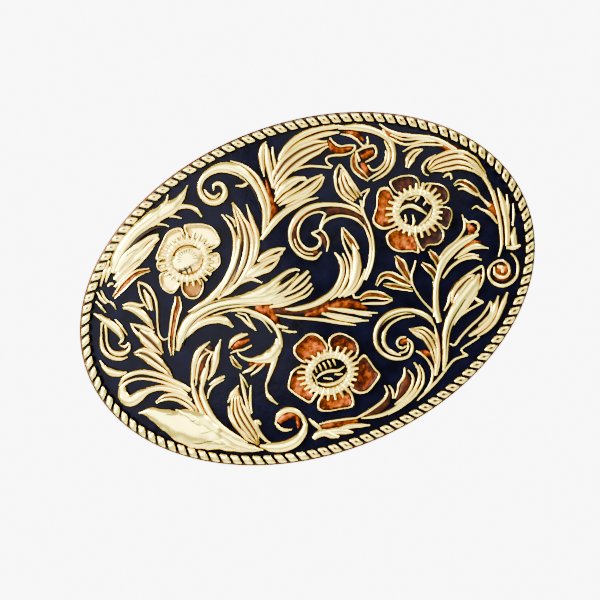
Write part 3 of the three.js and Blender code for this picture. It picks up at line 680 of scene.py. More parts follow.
overlay("acanthus_lower_left", [
    rib((0.3, 0.9, 0.9, 0.7, 0.3), (-21.5, -24.2), (-22.8, -22.1), (-23.6, -20), (-23.9, -18),
        (-23.5, -16.2)),
    rib((0.3, 0.9, 0.4), (-23.3, -15.5), (-22, -14.3), (-20.1, -13.1)),
    grooved(4, (0.6, 2.8, 3.2, 3, 2, 0.4), (-20.7, -25.6), (-21.2, -23), (-21.8, -20.5), (-22, -18),
            (-21.6, -16), (-20.5, -13.6)),
    rib((0.4, 0.6, 0.7, 0.3), (-20.1, -19.6), (-19.8, -16.6), (-19.3, -13.5), (-18.9, -11)),
    rib((0.4, 0.6, 0.3), (-19.6, -19.2), (-18.9, -16.6), (-17.7, -13.9)),
    rib((0.3, 0.4, 0.3), (-18.4, -14), (-18.5, -12.6), (-18.9, -11.2)),
    rib((0.7, 0.9, 0.7, 0.3), (-19.6, -21), (-19.7, -23), (-19.1, -25), (-18.2, -26.3)),
    rib((0.4, 0.9, 0.5), (-19.7, -20.8), (-19.1, -21.2), (-18.7, -21.9)),
])

# --- Main bough -------------------------------------------------------------------------------
# The thick stem across the middle, its tall leaf, the two centre leaves, and the volute below.
overlay("main_bough", [
    rib((0.8, 1.8, 2, 1.9, 1.8, 1.8, 1.6, 1.2, 0.6), (-28.9, -2), (-27, 0.5), (-24.5, 2.5),
        (-21.5, 3.4), (-18, 3.5), (-14.5, 2.8), (-11, 1.6), (-8, 0.4), (-5, 0.1)),
    rib((0.4, 1.2, 1.8, 1.8, 1.2, 0.6), (-16, 4), (-13.5, 3.2), (-11, 2.7), (-8.5, 2), (-6, 1.9), (-3, 2.7)),
    rib((0.5, 1.3, 1.5, 1, 0.5), (-12, 1.2), (-9.5, 0.9), (-7, 0.8), (-4.5, 1), (-2, 1.7)),
    line(0.34, (-27.6, -1.6), (-25.6, 0.9), (-22.5, 2.5), (-18.5, 3), (-14.5, 2.2), (-10.5, 0.7), rise=1.26),
    line(0.3, (-24.5, 3.3), (-21, 4.2), (-17.5, 4.1), (-14, 3.3), rise=1.26),
    line(0.34, (-7.5, 0.9), (-4, 1.7), (-1, 3.4), rise=1.1),
    line(0.22, (-5.4, 3.2), (-3.4, 3.6), (-1.5, 3.9), rise=1.25),
    rib((0.3, 1, 1.3, 1.5, 1.4, 0.6), (-26.8, -0.4), (-24, 1), (-21.5, 1.4), (-19, 0.9), (-17.5, -0.3),
        (-16.8, -1.7)),
    rib((0.4, 0.4, 0.3), (-20.6, 2), (-17, 1.7), (-13.4, 1.2)),
    hollow((0.5, 1, 1.1, 1.3, 1.5, 0.8), (-30.3, -2.5), (-29.4, 0.2), (-28, 2.8), (-26.6, 5),
           (-25.5, 6.5), (-25, 8.1)),
    rib((0.3, 1.2, 1.3, 1.2, 1.1, 1, 0.9, 0.8, 0.6, 0.3), (-24, 4.4), (-19.8, 5), (-17, 6.2),
        (-14.5, 7.8), (-12.4, 9.9), (-11, 12.1), (-10.1, 14.3), (-9.7, 16.5), (-10, 18.4), (-10.6, 20.1)),
    grooved(3, (0.5, 2.2, 3.2, 3.5, 3.3, 2.6, 1.5, 0.4), (-17.5, 4.8), (-14.5, 6.2), (-11.7, 8.2),
            (-9.4, 10.7), (-8, 13.4), (-7.5, 16), (-7.5, 18.6), (-7.7, 21.6)),
    rib((0.4, 0.9, 1, 1, 0.8, 0.3), (-9.4, 7.6), (-7.5, 9.8), (-6.1, 12), (-5.5, 14.2), (-5.4, 16.6),
        (-5.2, 20.2)),
    rib((0.3, 0.5, 0.3), (-8.9, 16.8), (-8.9, 18.3), (-9.8, 19.7)),
    rib((0.4, 0.8, 0.9, 0.8, 0.7, 0.3), (-17.4, 4.6), (-14, 5.7), (-11.5, 6.1), (-9.8, 5.9), (-8.9, 5.2),
        (-8.1, 4.4)),
    line(0.34, (-17, 5), (-13.4, 7), (-10.6, 10.3), (-9.2, 13.8), (-8.8, 17.4), rise=1.4),
    rib((0.4, 1.1, 1.1, 0.8, 0.4), (-7.2, 8.7), (-6, 9.3), (-4, 9.6), (-2.4, 9.5), (-1.2, 9.1)),
    rib((0.3, 0.5, 0.5, 0.3), (-6.8, 8.5), (-4.5, 8.6), (-2.9, 8.5), (-1.5, 9)),
    rib((1.1, 1.6, 1.1, 0.7, 0.3), (-10.6, 6.8), (-8.5, 7.3), (-6, 7.9), (-3.8, 8), (-2, 8.5)),
    rib((0.4, 1.1, 1.2, 0.7, 0.3), (-9.6, 6.2), (-7.5, 6.5), (-5.8, 6.5), (-4.3, 6.9), (-3, 7.8)),
    rib((0.6, 1.8, 2, 1.6, 1.2, 0.9, 0.4), (-12.4, 2.9), (-9.5, 2.7), (-7, 3), (-4.6, 3.9), (-2.6, 4.5),
        (-0.9, 4.5), (-0.2, 4)),
    rib((0.5, 1.2, 1, 0.4), (-9, 1.1), (-6, 1.6), (-3, 2.5), (-0.6, 3.5)),
    rib((0.4, 0.8, 0.9, 0.7), (-6.5, 0.8), (-3.5, 1.4), (-1, 2.3), (1.4, 3.2)),
    rib((0.3, 0.6, 0.7, 0.5), (-5, 0.4), (-2, 0.7), (0, 1.3), (1.4, 2.1)),
    rib((0.8, 0.7, 0.7, 0.6), (-7.5, -0.1), (-4, -0.5), (-1.2, -0.3), (1.1, 0.6)),
    rib((0.6, 1, 0.7, 0.6, 0.3), (-8.4, -0.7), (-5, -1.2), (-2.5, -1.3), (-0.5, -1.2), (1.1, -0.3)),
    copper((1.4, 2.2, 1.4, 0.6), (-11, 0.4), (-9.2, -1.2), (-8.3, -3), (-8, -4.8)),
    umber((1.6, 1.3, 1, 1.1, 1.4), (-9, -1.4), (-6.5, -2.2), (-3.5, -3.6), (0, -4.3), (3, -4.3)),
    rib((0.4, 1, 1, 1.2, 1.1, 1, 0.9, 0.9, 0.4), (-5.6, -2.2), (-3.5, -3), (0, -3.4), (3, -3),
        (5, -2.2), (6.8, -0.7), (8, 1.2), (8.2, 3), (7.7, 4.7)),
    rib((0.3, 0.7, 0.7, 0.6, 0.5, 0.3), (3.4, -3.8), (5.4, -3.2), (7.2, -1.9), (8.6, -0.1), (9.2, 1.9),
        (9.2, 4)),
    rib((0.5, 1.2, 1.5, 1.6, 1.3, 0.4), (5.2, -3.9), (7.6, -3.2), (9.6, -1.5), (11, 0.8), (11.6, 3),
        (11.7, 5)),
    hollow((1.2, 1.3, 1, 0.3), (11.9, 3.6), (11.7, 5.4), (11.3, 7), (11, 8.8)),
    rib((0.3, 0.6, 0.6, 0.5, 0.5, 0.3), (8.2, -2), (9.6, 0), (10.2, 2.2), (10.1, 4.5), (10.2, 6.6),
        (10.9, 8.8)),
    rib((0.4, 0.8, 0.8, 0.3), (6.2, -4.2), (8.4, -3.9), (10.4, -2.7), (12.2, -0.6)),
    rib((0.3, 0.8, 0.9, 0.9, 0.8, 0.9, 1.1, 1), (-15.9, 1.4), (-13.5, 0.8), (-11.6, -0.8), (-10, -2.6),
        (-9, -4.6), (-8.7, -6.6), (-9.3, -8.6), (-11, -10.3)),
    rib((0.3, 0.3, 0.3), (-12.6, -0.8), (-10.8, -2.6), (-9.9, -5.6)),
    rib((0.6, 1.9, 2.2, 1.5, 0.8, 0.6, 0.3), (-9.4, -7.2), (-10.4, -9.1), (-12.3, -9.9), (-14.4, -9.6),
        (-16.3, -8.9), (-17.6, -7.6), (-17.8, -6.6)),
    rib((0.4, 1, 1, 0.4), (-19, -5.3), (-17.9, -4.3), (-16.3, -3.9), (-14.5, -4.1)),
    copper((0.5, 1.4, 0.5), (-18.6, -5.8), (-16.8, -5.3), (-14.6, -5.3)),
    rib((0.3, 0.5, 0.5, 0.4), (-19.1, -6.4), (-17.7, -6.4), (-16.5, -6.7), (-14.6, -6.5)),
    hollow((0.4, 0.8, 0.4), (-19.3, -7), (-19, -8.8), (-18.2, -10)),
    rib((0.4, 0.8, 0.4), (-18.3, -11), (-16.8, -10.9), (-15.2, -10.4)),
    rib((0.3, 0.6, 0.4), (-16.9, -12), (-15.3, -11.6), (-13.6, -10.9)),
    copper((0.5, 0.9, 1.2), (-16.5, -9.9), (-14.6, -10.5), (-12.4, -11)),
    rib((1.1, 1.1, 0.9, 0.7, 0.4), (-10.8, -10.2), (-12.1, -11.8), (-13.2, -13.1), (-14.1, -14.1),
        (-14.9, -14.9)),
    rib((0.3, 0.5, 0.9, 0.3), (-14.4, -14.1), (-15.1, -15.8), (-15.2, -17.3), (-14.1, -19.4)),
    rib((0.3, 0.6, 0.6, 0.3), (-15.4, 0.4), (-14.5, -0.6), (-13.9, -2), (-12.7, -4)),
    rib((0.3, 0.4, 0.5, 0.3), (-14.8, 0.6), (-13.5, -0.4), (-13.2, -1.8), (-12.7, -3.8)),
    rib((0.8, 0.6, 0.3), (-8.5, -4.6), (-7.4, -5.4), (-6.6, -5.9)),
    rib((0.3, 0.6, 0.4), (-7.8, -5.9), (-6.6, -6.7), (-5.2, -7.3)),
])
overlay("leaf_spray_centre", [
    rib((0.3, 0.6, 0.6, 0.7, 0.7, 0.3), (-7.8, -2.6), (-5.5, -4), (-2.5, -5.5), (0, -6.7), (3, -8.5),
        (6.3, -10.4)),
    copper((0.6, 1.3, 1.7, 1.9, 1.4, 0.6), (-2.4, -4.9), (0.5, -5.1), (3.5, -5.2), (6.2, -5.8),
           (8.3, -6.9), (9.6, -8.2)),
    rib((0.5, 0.9, 0.8, 0.3), (0.9, -5.7), (3, -7.3), (6, -9.2), (9.1, -10.5)),
    rib((0.4, 0.9, 0.8, 0.3), (2.4, -5.2), (5, -6.6), (8, -8.3), (11.3, -9.7)),
    rib((0.3, 0.5, 0.3), (1.8, -6), (4.6, -7.7), (7.8, -9.7)),
    rib((0.3, 0.5, 0.3), (6.2, -7.6), (8.4, -8.9), (10, -9.8)),
    hollow((0.7, 1.3, 1.2, 0.3), (9, -5.8), (10.7, -5.6), (12.7, -6.4), (15.1, -8.2)),
    rib((0.3, 0.6, 0.6, 0.3), (9, -6.8), (11.2, -7.6), (13.4, -8.4), (15, -8.4)),
    rib((0.4, 0.5, 0.4), (8.2, -4.4), (8.1, -5.1), (9.2, -5.5)),
])

# --- Overlays of the top edge -----------------------------------------------------------------
# A great volute and its leaf, the fan of leaves beside it, and the bough that rounds the right end.
overlay("volute_top", [
    rib((0.5, 0.9, 1, 1.1, 1.2, 1.3, 1.5, 1.8, 2, 1.9, 1.6, 1.3, 1.1, 1, 1, 1.1, 1.2, 1.2, 1),
        (-4.3, 13.5), (-3.3, 15.2), (-2.5, 17), (-2.1, 19), (-2.1, 21.5), (-2.6, 24), (-3.6, 26.2),
        (-5, 27.8), (-7, 28.9), (-9, 29.1), (-11, 28.6), (-12.5, 27.3), (-13, 25.7), (-12.7, 24.3),
        (-11.8, 23.2), (-10.4, 22.8), (-9, 23.2), (-8.2, 24.2), (-8.2, 25.5)),
    rib((0.3, 0.7, 0.8, 0.8, 0.8, 0.7, 0.6, 0.3), (-2.7, 14.8), (-1.5, 17.2), (-0.9, 19.5), (-0.9, 22),
        (-1.2, 24.3), (-2, 26.3), (-3.2, 28), (-5, 29.5)),
    line(0.34, (-3, 18), (-2.8, 21.5), (-3.4, 24.6), (-5, 26.9), (-7.5, 28.2), rise=1.22),
    rib((0.9, 0.9, 0.7, 0.3), (-8.2, 25.4), (-8.9, 26.3), (-9.9, 26.2), (-10.3, 25.3)),
    rib((0.4, 0.7, 0.8, 0.4), (-12, 26), (-11.6, 24.7), (-10.6, 23.9), (-9.4, 24.3)),
    rib((0.4, 0.8, 0.7, 0.3), (-2.6, 24.7), (-3.6, 24.1), (-4.7, 24), (-5.8, 24.5)),
    rib((0.7, 1.1, 1.3, 1.2, 1, 0.7, 0.3), (-5, 12.6), (-2.8, 14), (-0.5, 15.3), (2, 16.1),
        (4.5, 16.4), (6.5, 16.5), (8.7, 16.2)),
    copper((0.6, 1.7, 1.1, 0.7, 0.3), (-1.9, 15.7), (-0.8, 17.1), (-0.3, 19.2), (0, 21.5), (0.2, 23.4)),
    rib((0.3, 1.2, 1.7, 1.5, 0.9, 0.3), (0.3, 18.7), (2, 20.1), (4, 20.9), (6, 21.2), (7.5, 20.8),
        (8, 20)),
    rib((0.4, 0.9, 0.8, 0.7, 0.4), (0.6, 18.2), (3, 19), (6, 19.5), (8.5, 20.1), (11.1, 20.2)),
    rib((0.4, 1.1, 1.3, 1.1, 0.4), (0.8, 17.6), (3.5, 18), (6.5, 18.2), (9, 18.9), (11.1, 19.8)),
    rib((0.3, 0.6, 0.6, 0.5, 0.3), (2, 16.9), (5, 17.2), (8, 17.5), (10, 18.3), (11.3, 19.6)),
])
overlay("leaf_spray_top", [
    rib((0.3, 0.9, 1.1, 0.9, 0.3), (0.2, 24.2), (0.6, 26.4), (1.2, 28.5), (2.2, 30), (3.1, 30.5)),
    rib((0.7, 1.1, 1.2, 1, 0.4), (1.1, 21.5), (1.5, 24), (1.9, 26.5), (2.5, 28.6), (2.9, 30)),
    rib((0.5, 0.6, 0.6, 0.3), (2.5, 23.4), (3, 25.5), (3.4, 27.5), (3.9, 29)),
    rib((0.3, 0.9, 1.1, 1.2, 1.2, 1, 1, 0.4), (3.5, 25.2), (5, 26.9), (7, 28.2), (9.5, 29), (12, 29.2),
        (14.5, 28.9), (17, 28.3), (18.8, 27.7)),
    grooved(3, (0.8, 2.6, 3.2, 3.2, 2.8, 1.3), (0.9, 21.3), (2.8, 23.1), (5.5, 24.7), (8.5, 25.6),
            (11.5, 25.8), (14.4, 25.6)),
    rib((0.3, 0.8, 0.9, 0.9, 1, 0.5), (3.9, 24.8), (6.2, 26.6), (9, 27.6), (12, 27.8), (15, 27.5),
        (17.4, 26.9)),
    rib((0.3, 0.5, 0.5, 0.5, 0.5, 0.5, 0.4), (0.9, 20), (2.4, 21.7), (4.6, 22.8), (7, 23.1),
        (9.2, 22.8), (11.3, 21.9), (13.3, 20.8)),
    rib((0.4, 0.4, 0.5, 0.5, 0.5, 0.4, 0.5, 0.4, 0.4, 0.4, 0.4), (13.6, 21), (12.9, 22.2),
        (13.4, 23.1), (15, 22.9), (16.8, 22.3), (18.5, 22.3), (19.4, 23.1), (18.2, 23.8), (16.6, 24.2),
        (15.7, 25.2), (15.3, 26.5)),
    copper((0.4, 1.3, 1.1, 0.5), (14.7, 26.2), (15, 24.6), (16.3, 23.5), (18.6, 23)),
])
overlay("bough_right", [
    rib((0.4, 1.1, 1.4, 1.3, 1.2, 1.1, 1, 0.9, 0.8, 0.7, 0.6, 0.3), (17.6, 27.6), (19.6, 27.2),
        (21.5, 26.4), (23.3, 25.3), (24.8, 24), (25.9, 22.5), (26.4, 20.7), (26.1, 18.8), (25.1, 17.1),
        (23.6, 16), (21.9, 15.5), (20.2, 15.3)),
    rib((0.3, 0.6, 0.6, 0.6, 0.5, 0.5, 0.3), (25.3, 22), (25.4, 20), (24.9, 18.5), (23.8, 17.2),
        (22.3, 16.5), (20.6, 16.2), (19.2, 15.9)),
    rib((0.3, 0.4, 0.4, 0.5, 0.4, 0.3), (24.8, 20), (24.3, 18.7), (23.2, 17.7), (21.8, 17.2),
        (20.7, 17.5), (20.4, 18.6)),
    hollow((0.5, 1.1, 1.2, 1.1, 0.5), (19.4, 15.9), (18.5, 17.4), (17.8, 19), (18.1, 20.6),
           (18.8, 21.8)),
    copper((1.1, 1.3, 0.9), (19.6, 16.7), (19.6, 18.2), (19.5, 19.6)),
    rib((0.4, 0.5, 0.6, 0.5, 0.5, 0.5, 0.3), (19, 22), (21, 22.2), (22.8, 21.9), (23.1, 20.8),
        (22.4, 19.8), (21.2, 19.5), (20.2, 19.4)),
    copper((1.1, 1.2, 1), (19.8, 20.6), (21.2, 20.9), (22.4, 20.8)),
    rib((0.5, 0.5), (19.2, 21.8), (19.2, 20)),
    rib((0.3, 0.5, 0.5, 0.5, 0.5, 0.3), (17.6, 26.4), (19, 25.6), (20.2, 24.2), (20.9, 22.6),
        (22, 22.7), (22.4, 24)),
    copper((0.4, 1.2, 0.5), (18.4, 26.7), (20.4, 25.4), (21.4, 23.6)),
    rib((0.4, 0.6, 0.8, 0.8, 0.8, 0.9, 0.9, 0.9, 0.9, 0.9, 0.9, 0.8, 0.8, 0.7, 0.7, 0.6, 0.4),
        (25.6, 25.5), (26.6, 24), (28.3, 22.4), (30.4, 21.2), (32.9, 20), (34.9, 18.8), (36.7, 17),
        (38.3, 14.8), (39.7, 12.3), (40.9, 9.8), (41.6, 7.3), (41.9, 4.5), (41.7, 1.8), (41.3, -1),
        (40.5, -4), (39.6, -6.4), (38.3, -8.1)),
    rib((0.4, 0.5, 0.5, 0.5, 0.5, 0.5, 0.3), (25.9, 24.2), (26.2, 22.6), (27.2, 21.3), (28.6, 20),
        (30.4, 19.4), (32.8, 19.1), (35.4, 18)),
    rib((0.3, 0.4, 0.5, 0.5, 0.5, 0.3), (26.9, 22.7), (29, 20.9), (31.8, 19.9), (34.5, 18.7),
        (37, 16.6), (38.8, 14.2)),
    copper((0.8, 1.2, 0.7), (26.2, 24), (27.2, 22.3), (28.9, 20.8)),
    rib((0.3, 0.5, 0.5, 0.5, 0.4), (28, 18.6), (30, 18.9), (32, 18.6), (34, 17.8), (36, 16.9)),
    copper((0.7, 1.8, 1.7, 0.6), (35.4, 17.2), (37.1, 15.9), (38.6, 14), (39.9, 11.9)),
    grooved(2, (0.8, 1.8, 1.4, 0.4), (27.6, 15.3), (28.9, 16.8), (30.2, 17.5), (31.9, 17.6)),
    grooved(4, (1.2, 3, 3.4, 3.4, 2.8, 1.6, 0.4), (31.5, 13.3), (33.5, 13.7), (35.7, 13.6),
            (38, 13.1), (39.9, 11.6), (41.1, 9.5), (41.8, 7)),
    rib((0.3, 0.5, 0.6, 0.5, 0.3), (34, 15.6), (32, 15.3), (30.7, 14.4), (30.4, 13), (31, 12.3)),
    rib((0.3, 0.6, 0.6, 0.4), (33.7, 10.8), (34.6, 11.1), (35.3, 10.9), (35.2, 9.9)),
    hollow((0.4, 0.9, 1.1, 1.1, 0.5), (35.2, 8.6), (36.4, 8.8), (37.6, 7.9), (38.5, 6.5), (39.2, 5)),
    rib((0.3, 0.6, 0.6, 0.4), (35.6, 7.5), (36.8, 7.2), (38, 5.9), (38.9, 4.9)),
    rib((0.5, 0.5, 0.8), (39, 5.3), (39.7, 3.6), (40.4, 2)),
    rib((0.3, 0.5, 0.5, 0.3), (38.3, 10.8), (40, 9.9), (41, 8.6), (41.7, 7)),
    rib((0.3, 0.4, 0.4, 0.7, 0.6, 0.3), (36.8, 2.8), (37.8, 3), (38.4, 2.2), (39.3, 1.3), (40, 0.2),
        (40.5, -1.8)),
    copper((1, 1.3, 0.6), (40.5, 2.8), (40.7, 1.2), (40.9, -0.2)),
    rib((0.4, 1, 1.2, 1.1, 1, 0.8), (43.3, 4.8), (43.2, 3), (43, 1), (42.6, -1.5), (41.8, -4.2),
        (40.8, -6.6)),
    rib((0.3, 0.6, 0.3), (44.5, 2.9), (44, 1), (43.4, -0.8)),
    rib((0.3, 0.6, 0.3), (45, 0.7), (44.3, -1.4), (43.3, -3.4)),
    rib((0.5, 1.2, 1.2), (43.5, -3.9), (42.6, -5.6), (42.2, -7.2)),
    rib((0.6, 1, 0.6), (40.5, -7), (42, -7.6), (43.3, -7.6)),
    rib((0.4, 0.5, 0.6, 0.6, 0.7, 0.7, 0.7, 0.6, 0.6, 0.5, 0.5, 0.5), (40.9, -8.4), (41.4, -9.8),
        (41.2, -11.6), (40.2, -13.2), (38.4, -14), (36.6, -13.8), (35.3, -12.6), (35, -11),
        (35.7, -9.6), (37.2, -8.9), (38.8, -9.2), (39.5, -10.5)),
    rib((0.5, 0.5, 0.6, 0.7, 0.7, 0.3), (39.5, -10.4), (39.2, -11.8), (38.2, -12.4), (37, -12.1),
        (36.3, -11), (36.7, -9.8)),
    rib((0.6, 0.9, 0.5), (37.3, -9.9), (38.2, -10.6), (37.8, -11.4)),
    copper((2, 3, 2), (36, -11.2), (37.8, -11.4), (39.6, -11.6)),
])

# --- Overlays of the middle right -------------------------------------------------------------
# The hollow centre volute with its bud, and the lower right sprig with its own volute and leaves.
overlay("volute_centre", [
    rib((0.3, 0.7, 0.7, 0.8, 0.9, 1, 1.1, 1.1, 0.9, 0.7, 0.6, 0.6, 0.7, 0.4), (15.7, 9.7),
        (14.4, 11.6), (12.6, 13), (10.4, 14.1), (8, 14.8), (5.6, 14.9), (3.4, 14.2), (1.6, 12.8),
        (0.5, 11), (0.3, 8.9), (0.9, 7.1), (2.1, 5.8), (3.7, 5.1), (5.3, 5.8)),
    rib((0.3, 0.4, 0.4, 0.4, 0.5, 0.5, 0.5, 0.5, 0.6, 0.6, 0.6, 0.5, 0.6, 0.4), (8.9, 12.5),
        (8, 13.4), (6.4, 13.7), (4.6, 13.4), (3.1, 12.3), (2.2, 10.8), (2.1, 9), (2.7, 7.6), (4, 7),
        (5.3, 7.2), (6, 8.2), (5.5, 9.2), (5, 9.9), (6.9, 10.1)),
    umber((0.9, 1, 1, 1.1, 1, 1, 0.8), (8.4, 14), (5.5, 14.1), (2.8, 13), (1.4, 10.9), (1.3, 8.5),
           (2.4, 6.6), (4.6, 6.1)),
    rib((0.3, 0.3, 0.3, 0.3), (1.2, 10.2), (1.2, 8.4), (2, 6.9), (3.6, 6)),
    rib((0.4, 0.6, 0.6, 0.5, 0.5, 0.5, 0.3), (6.8, 10.1), (7.7, 11), (9.2, 11.5), (11.2, 11.3),
        (13, 10.4), (14.4, 9), (15.2, 7.2)),
    rib((0.4, 0.4, 0.4), (8.9, 12.6), (7.8, 11.6), (6.8, 10.4)),
    umber((1.1, 1.4, 1.2, 0.7), (9, 12.8), (11.5, 12.5), (13.6, 11), (15.3, 8.6)),
    rib((0.4, 0.5, 0.5, 0.3), (6.8, 10), (7.4, 8.6), (7.3, 7.1), (6.4, 5.6)),
    umber((0.9, 0.9, 0.4), (6.3, 9.2), (6.7, 7.6), (6.4, 6.2)),
    rib((0.3, 0.5, 0.5, 0.5, 0.5, 0.3), (15.2, 7.6), (15.3, 5.4), (14.9, 3.2), (13.9, 1), (12.6, -0.9),
        (11.2, -2.5)),
    rib((0.5, 0.5, 0.5, 0.5, 0.5, 0.5, 0.3), (16.4, 12.6), (16.1, 9.6), (16.2, 7), (15.9, 4.6),
        (15.1, 2), (13.7, -0.4), (11.6, -2.7)),
    umber((0.4, 0.7, 0.7, 0.4), (15.8, 9.5), (15.7, 6.5), (15.2, 3.6), (14.2, 1)),
    rib((0.3, 0.6, 0.6, 0.5, 0.5, 0.5, 0.5, 0.4), (15.2, 20.9), (14, 19.9), (13.2, 18.3), (12.8, 16.4),
        (13.2, 14.6), (14.3, 13), (15.6, 11.4), (16, 9.8)),
    rib((0.3, 0.5, 0.5, 0.6, 0.4), (15.3, 20.7), (15.8, 18.8), (16.2, 16.8), (16.6, 14.8), (17, 13.3)),
    rib((0.3, 0.5, 0.4, 0.4), (17, 13.9), (18.8, 14), (17.4, 12.8), (16.5, 11.2)),
    grooved(3, (0.3, 2, 2.5, 1.4), (15.1, 19.8), (14.8, 17.6), (14.9, 15.6), (15.7, 13.2)),
])
overlay("volute_lower_right", [
    rib((0.4, 0.9, 1, 1.1, 1.3, 1.3, 1.2, 1, 0.9, 0.8, 0.7, 0.7, 0.6, 0.6, 0.6, 0.4), (21, -16.3),
        (20.5, -14.4), (19.2, -12.8), (17.3, -11.6), (15, -11), (12.7, -11.1), (10.6, -12.1),
        (9.2, -13.8), (8.7, -15.8), (9.2, -17.6), (10.4, -19), (12, -19.9), (13.8, -20.1), (15, -19.2),
        (15.5, -17.9), (14.9, -16.8)),
    line(0.36, (20, -14.8), (17.6, -12.1), (14.8, -11.3), (12, -11.7), (9.8, -13.5), (9.2, -16), rise=1.02),
    rib((0.3, 0.5, 0.5, 0.6, 0.8, 0.8, 0.8, 0.3), (18, -13), (15.5, -12.4), (13, -12.7), (11.2, -13.8),
        (10.3, -15.5), (10.5, -17.2), (11.5, -18.5), (12.5, -19.3)),
    rib((0.4, 0.5, 0.5, 0.5, 0.4, 0.3), (14.8, -16.3), (13.8, -16), (12.9, -16.5), (12.7, -17.4),
        (13.3, -18.1), (14.3, -18)),
    rib((0.3, 0.4, 0.4, 0.3), (12.4, -18.8), (13.6, -19), (14.5, -18.4), (14.8, -17.4)),
    copper((0.7, 0.9, 0.6), (13.4, -17), (14.2, -17), (15, -17.2)),
])
overlay("leaf_in_volute", [
    grooved(3, (0.4, 1.9, 2.2, 1.7, 0.9, 0.3), (16.4, -15.2), (18.3, -16.6), (19.2, -18.6),
            (19.3, -20.8), (18.7, -23), (18.2, -25.2)),
    rib((0.4, 0.5, 0.4, 0.3), (16.1, -15), (16.9, -16.6), (18, -18.2), (18.6, -20)),
    copper((0.4, 1.3, 0.8), (15.9, -19.9), (17.3, -20.9), (18.3, -21.3)),
])
overlay("sprig_right", [
    rib((0.7, 1, 0.9, 0.7, 0.3), (17.6, -25.6), (19, -23.2), (20, -20.8), (20.7, -18.4), (21.1, -16.2)),
    rib((0.5, 1.1, 1.2, 1.4, 1.7, 2, 2.3, 2.2, 0.6), (19.4, -25.3), (20.8, -22.8), (21.8, -20.4),
        (22.9, -18.2), (24.5, -16.3), (26.6, -14.6), (29, -13), (31.4, -11.5), (33.2, -10)),
    line(0.42, (20.4, -24), (22.2, -20), (24.4, -17), (28, -14.2), (32, -11.4), rise=1.34),
    grooved(2, (0.6, 2, 2.2, 1.6, 0.4), (26.1, -13.4), (27.5, -11.8), (29.1, -10.8), (30.7, -10.1),
            (32.4, -9.8)),
    rib((0.3, 0.6, 0.5, 0.5, 0.5, 0.5, 0.6, 0.3), (24, -14.2), (25.3, -13.1), (26.3, -11.6),
        (27.9, -10.3), (30, -9.5), (32.2, -9), (34.4, -8.7), (34.4, -9.8)),
    rib((0.4, 0.5, 0.5, 0.3), (34.5, -9), (33.9, -10.8), (32.6, -12.3), (31, -13.2)),
    copper((0.8, 1, 0.6), (33.5, -10), (33, -11.2), (32, -12.2)),
    rib((0.3, 0.9, 1.1, 1.1, 0.5), (24.5, -17.3), (26.6, -16), (28.8, -14.7), (31, -13.3),
        (32.4, -11.8)),
    rib((0.3, 0.5, 0.5, 0.5, 0.4), (24.7, -17.6), (26.3, -16.5), (28, -16), (30, -15.7), (32, -15.5)),
    rib((0.3, 0.7, 0.5), (30.4, -13.6), (31, -14.6), (31.9, -15.4)),
    rib((1.1, 1.2, 1.1, 1, 1, 1.4, 1.6, 1.5, 1.4, 0.7), (22.2, -16), (22.5, -13.6), (23.2, -11.4),
        (24.2, -9.2), (25.3, -7.4), (26.7, -5.6), (28.5, -4.2), (30.8, -3.2), (33.2, -2.6), (36.1, -2.4)),
    rib((0.6, 0.4, 0.4, 0.3), (21.7, -14.6), (22.7, -12), (23.6, -9.6), (24.1, -8)),
    rib((0.3, 0.5, 0.5, 0.5, 0.5, 0.6, 0.3), (26.4, -5.2), (27.5, -3.7), (29.2, -2.7), (31.2, -2.1),
        (33, -1.1), (34.2, 0.2), (34.5, 2.4)),
    rib((0.3, 0.5, 0.5, 0.6, 0.5, 0.4), (34.7, 1.6), (35, 0.6), (36, 0.4), (36.8, -0.4), (36.6, -1.4),
        (35.6, -2)),
    copper((0.6, 1.3, 1), (34.8, 0.2), (35.2, -1.1), (34.6, -2)),
    rib((0.3, 1, 1.2, 0.3), (29.8, -5.2), (32.5, -4.5), (34.6, -4.4), (37, -5.8)),
    copper((0.5, 1, 0.6), (32.6, -3.9), (34.4, -3.6), (36, -4.2)),
    rib((0.5, 0.6, 0.6, 0.6, 0.6, 0.3), (26.2, -8), (28.2, -6.7), (30.2, -6.1), (32.2, -6.1),
        (33.8, -6.6), (34.8, -7.5)),
    rib((0.3, 0.5, 0.3), (30.4, -5.5), (32.8, -5.5), (34.6, -6.5)),
    hollow((0.5, 1.1, 1.2, 0.5), (24.5, -8.8), (24.8, -6.9), (24.3, -5.4), (23.3, -3.7)),
    hollow((0.5, 1, 1.1, 0.5), (26.1, -6.2), (26.3, -4.4), (26, -3), (25.6, -1.9)),
    hollow((0.4, 1.2, 1.7, 0.4), (19.9, -6.6), (19.5, -4.4), (19.3, -2.4), (18.9, -0.4)),
    rib((0.4, 0.5, 0.5, 0.4, 0.4, 0.4, 0.5), (22.3, -2.8), (21.4, -4), (20.5, -5.1), (20, -6.8),
        (20.2, -9), (20.8, -11.2), (21.9, -13.8)),
    hollow((0.5, 1.2, 1.3, 1, 0.4), (19.6, -7), (18, -5.3), (16.4, -3.6), (14.8, -3.2), (13.1, -4.5)),
    hollow((0.4, 0.8, 0.9, 0.4), (19.5, -8), (17.6, -6.7), (15.8, -5.6), (14.5, -4.8)),
    rib((0.3, 0.4, 0.5, 0.5, 0.5, 0.3), (15.7, -19.7), (16.7, -21), (17.3, -22.8), (17.3, -24.6),
        (16.2, -26.6), (14.1, -28.1)),
])
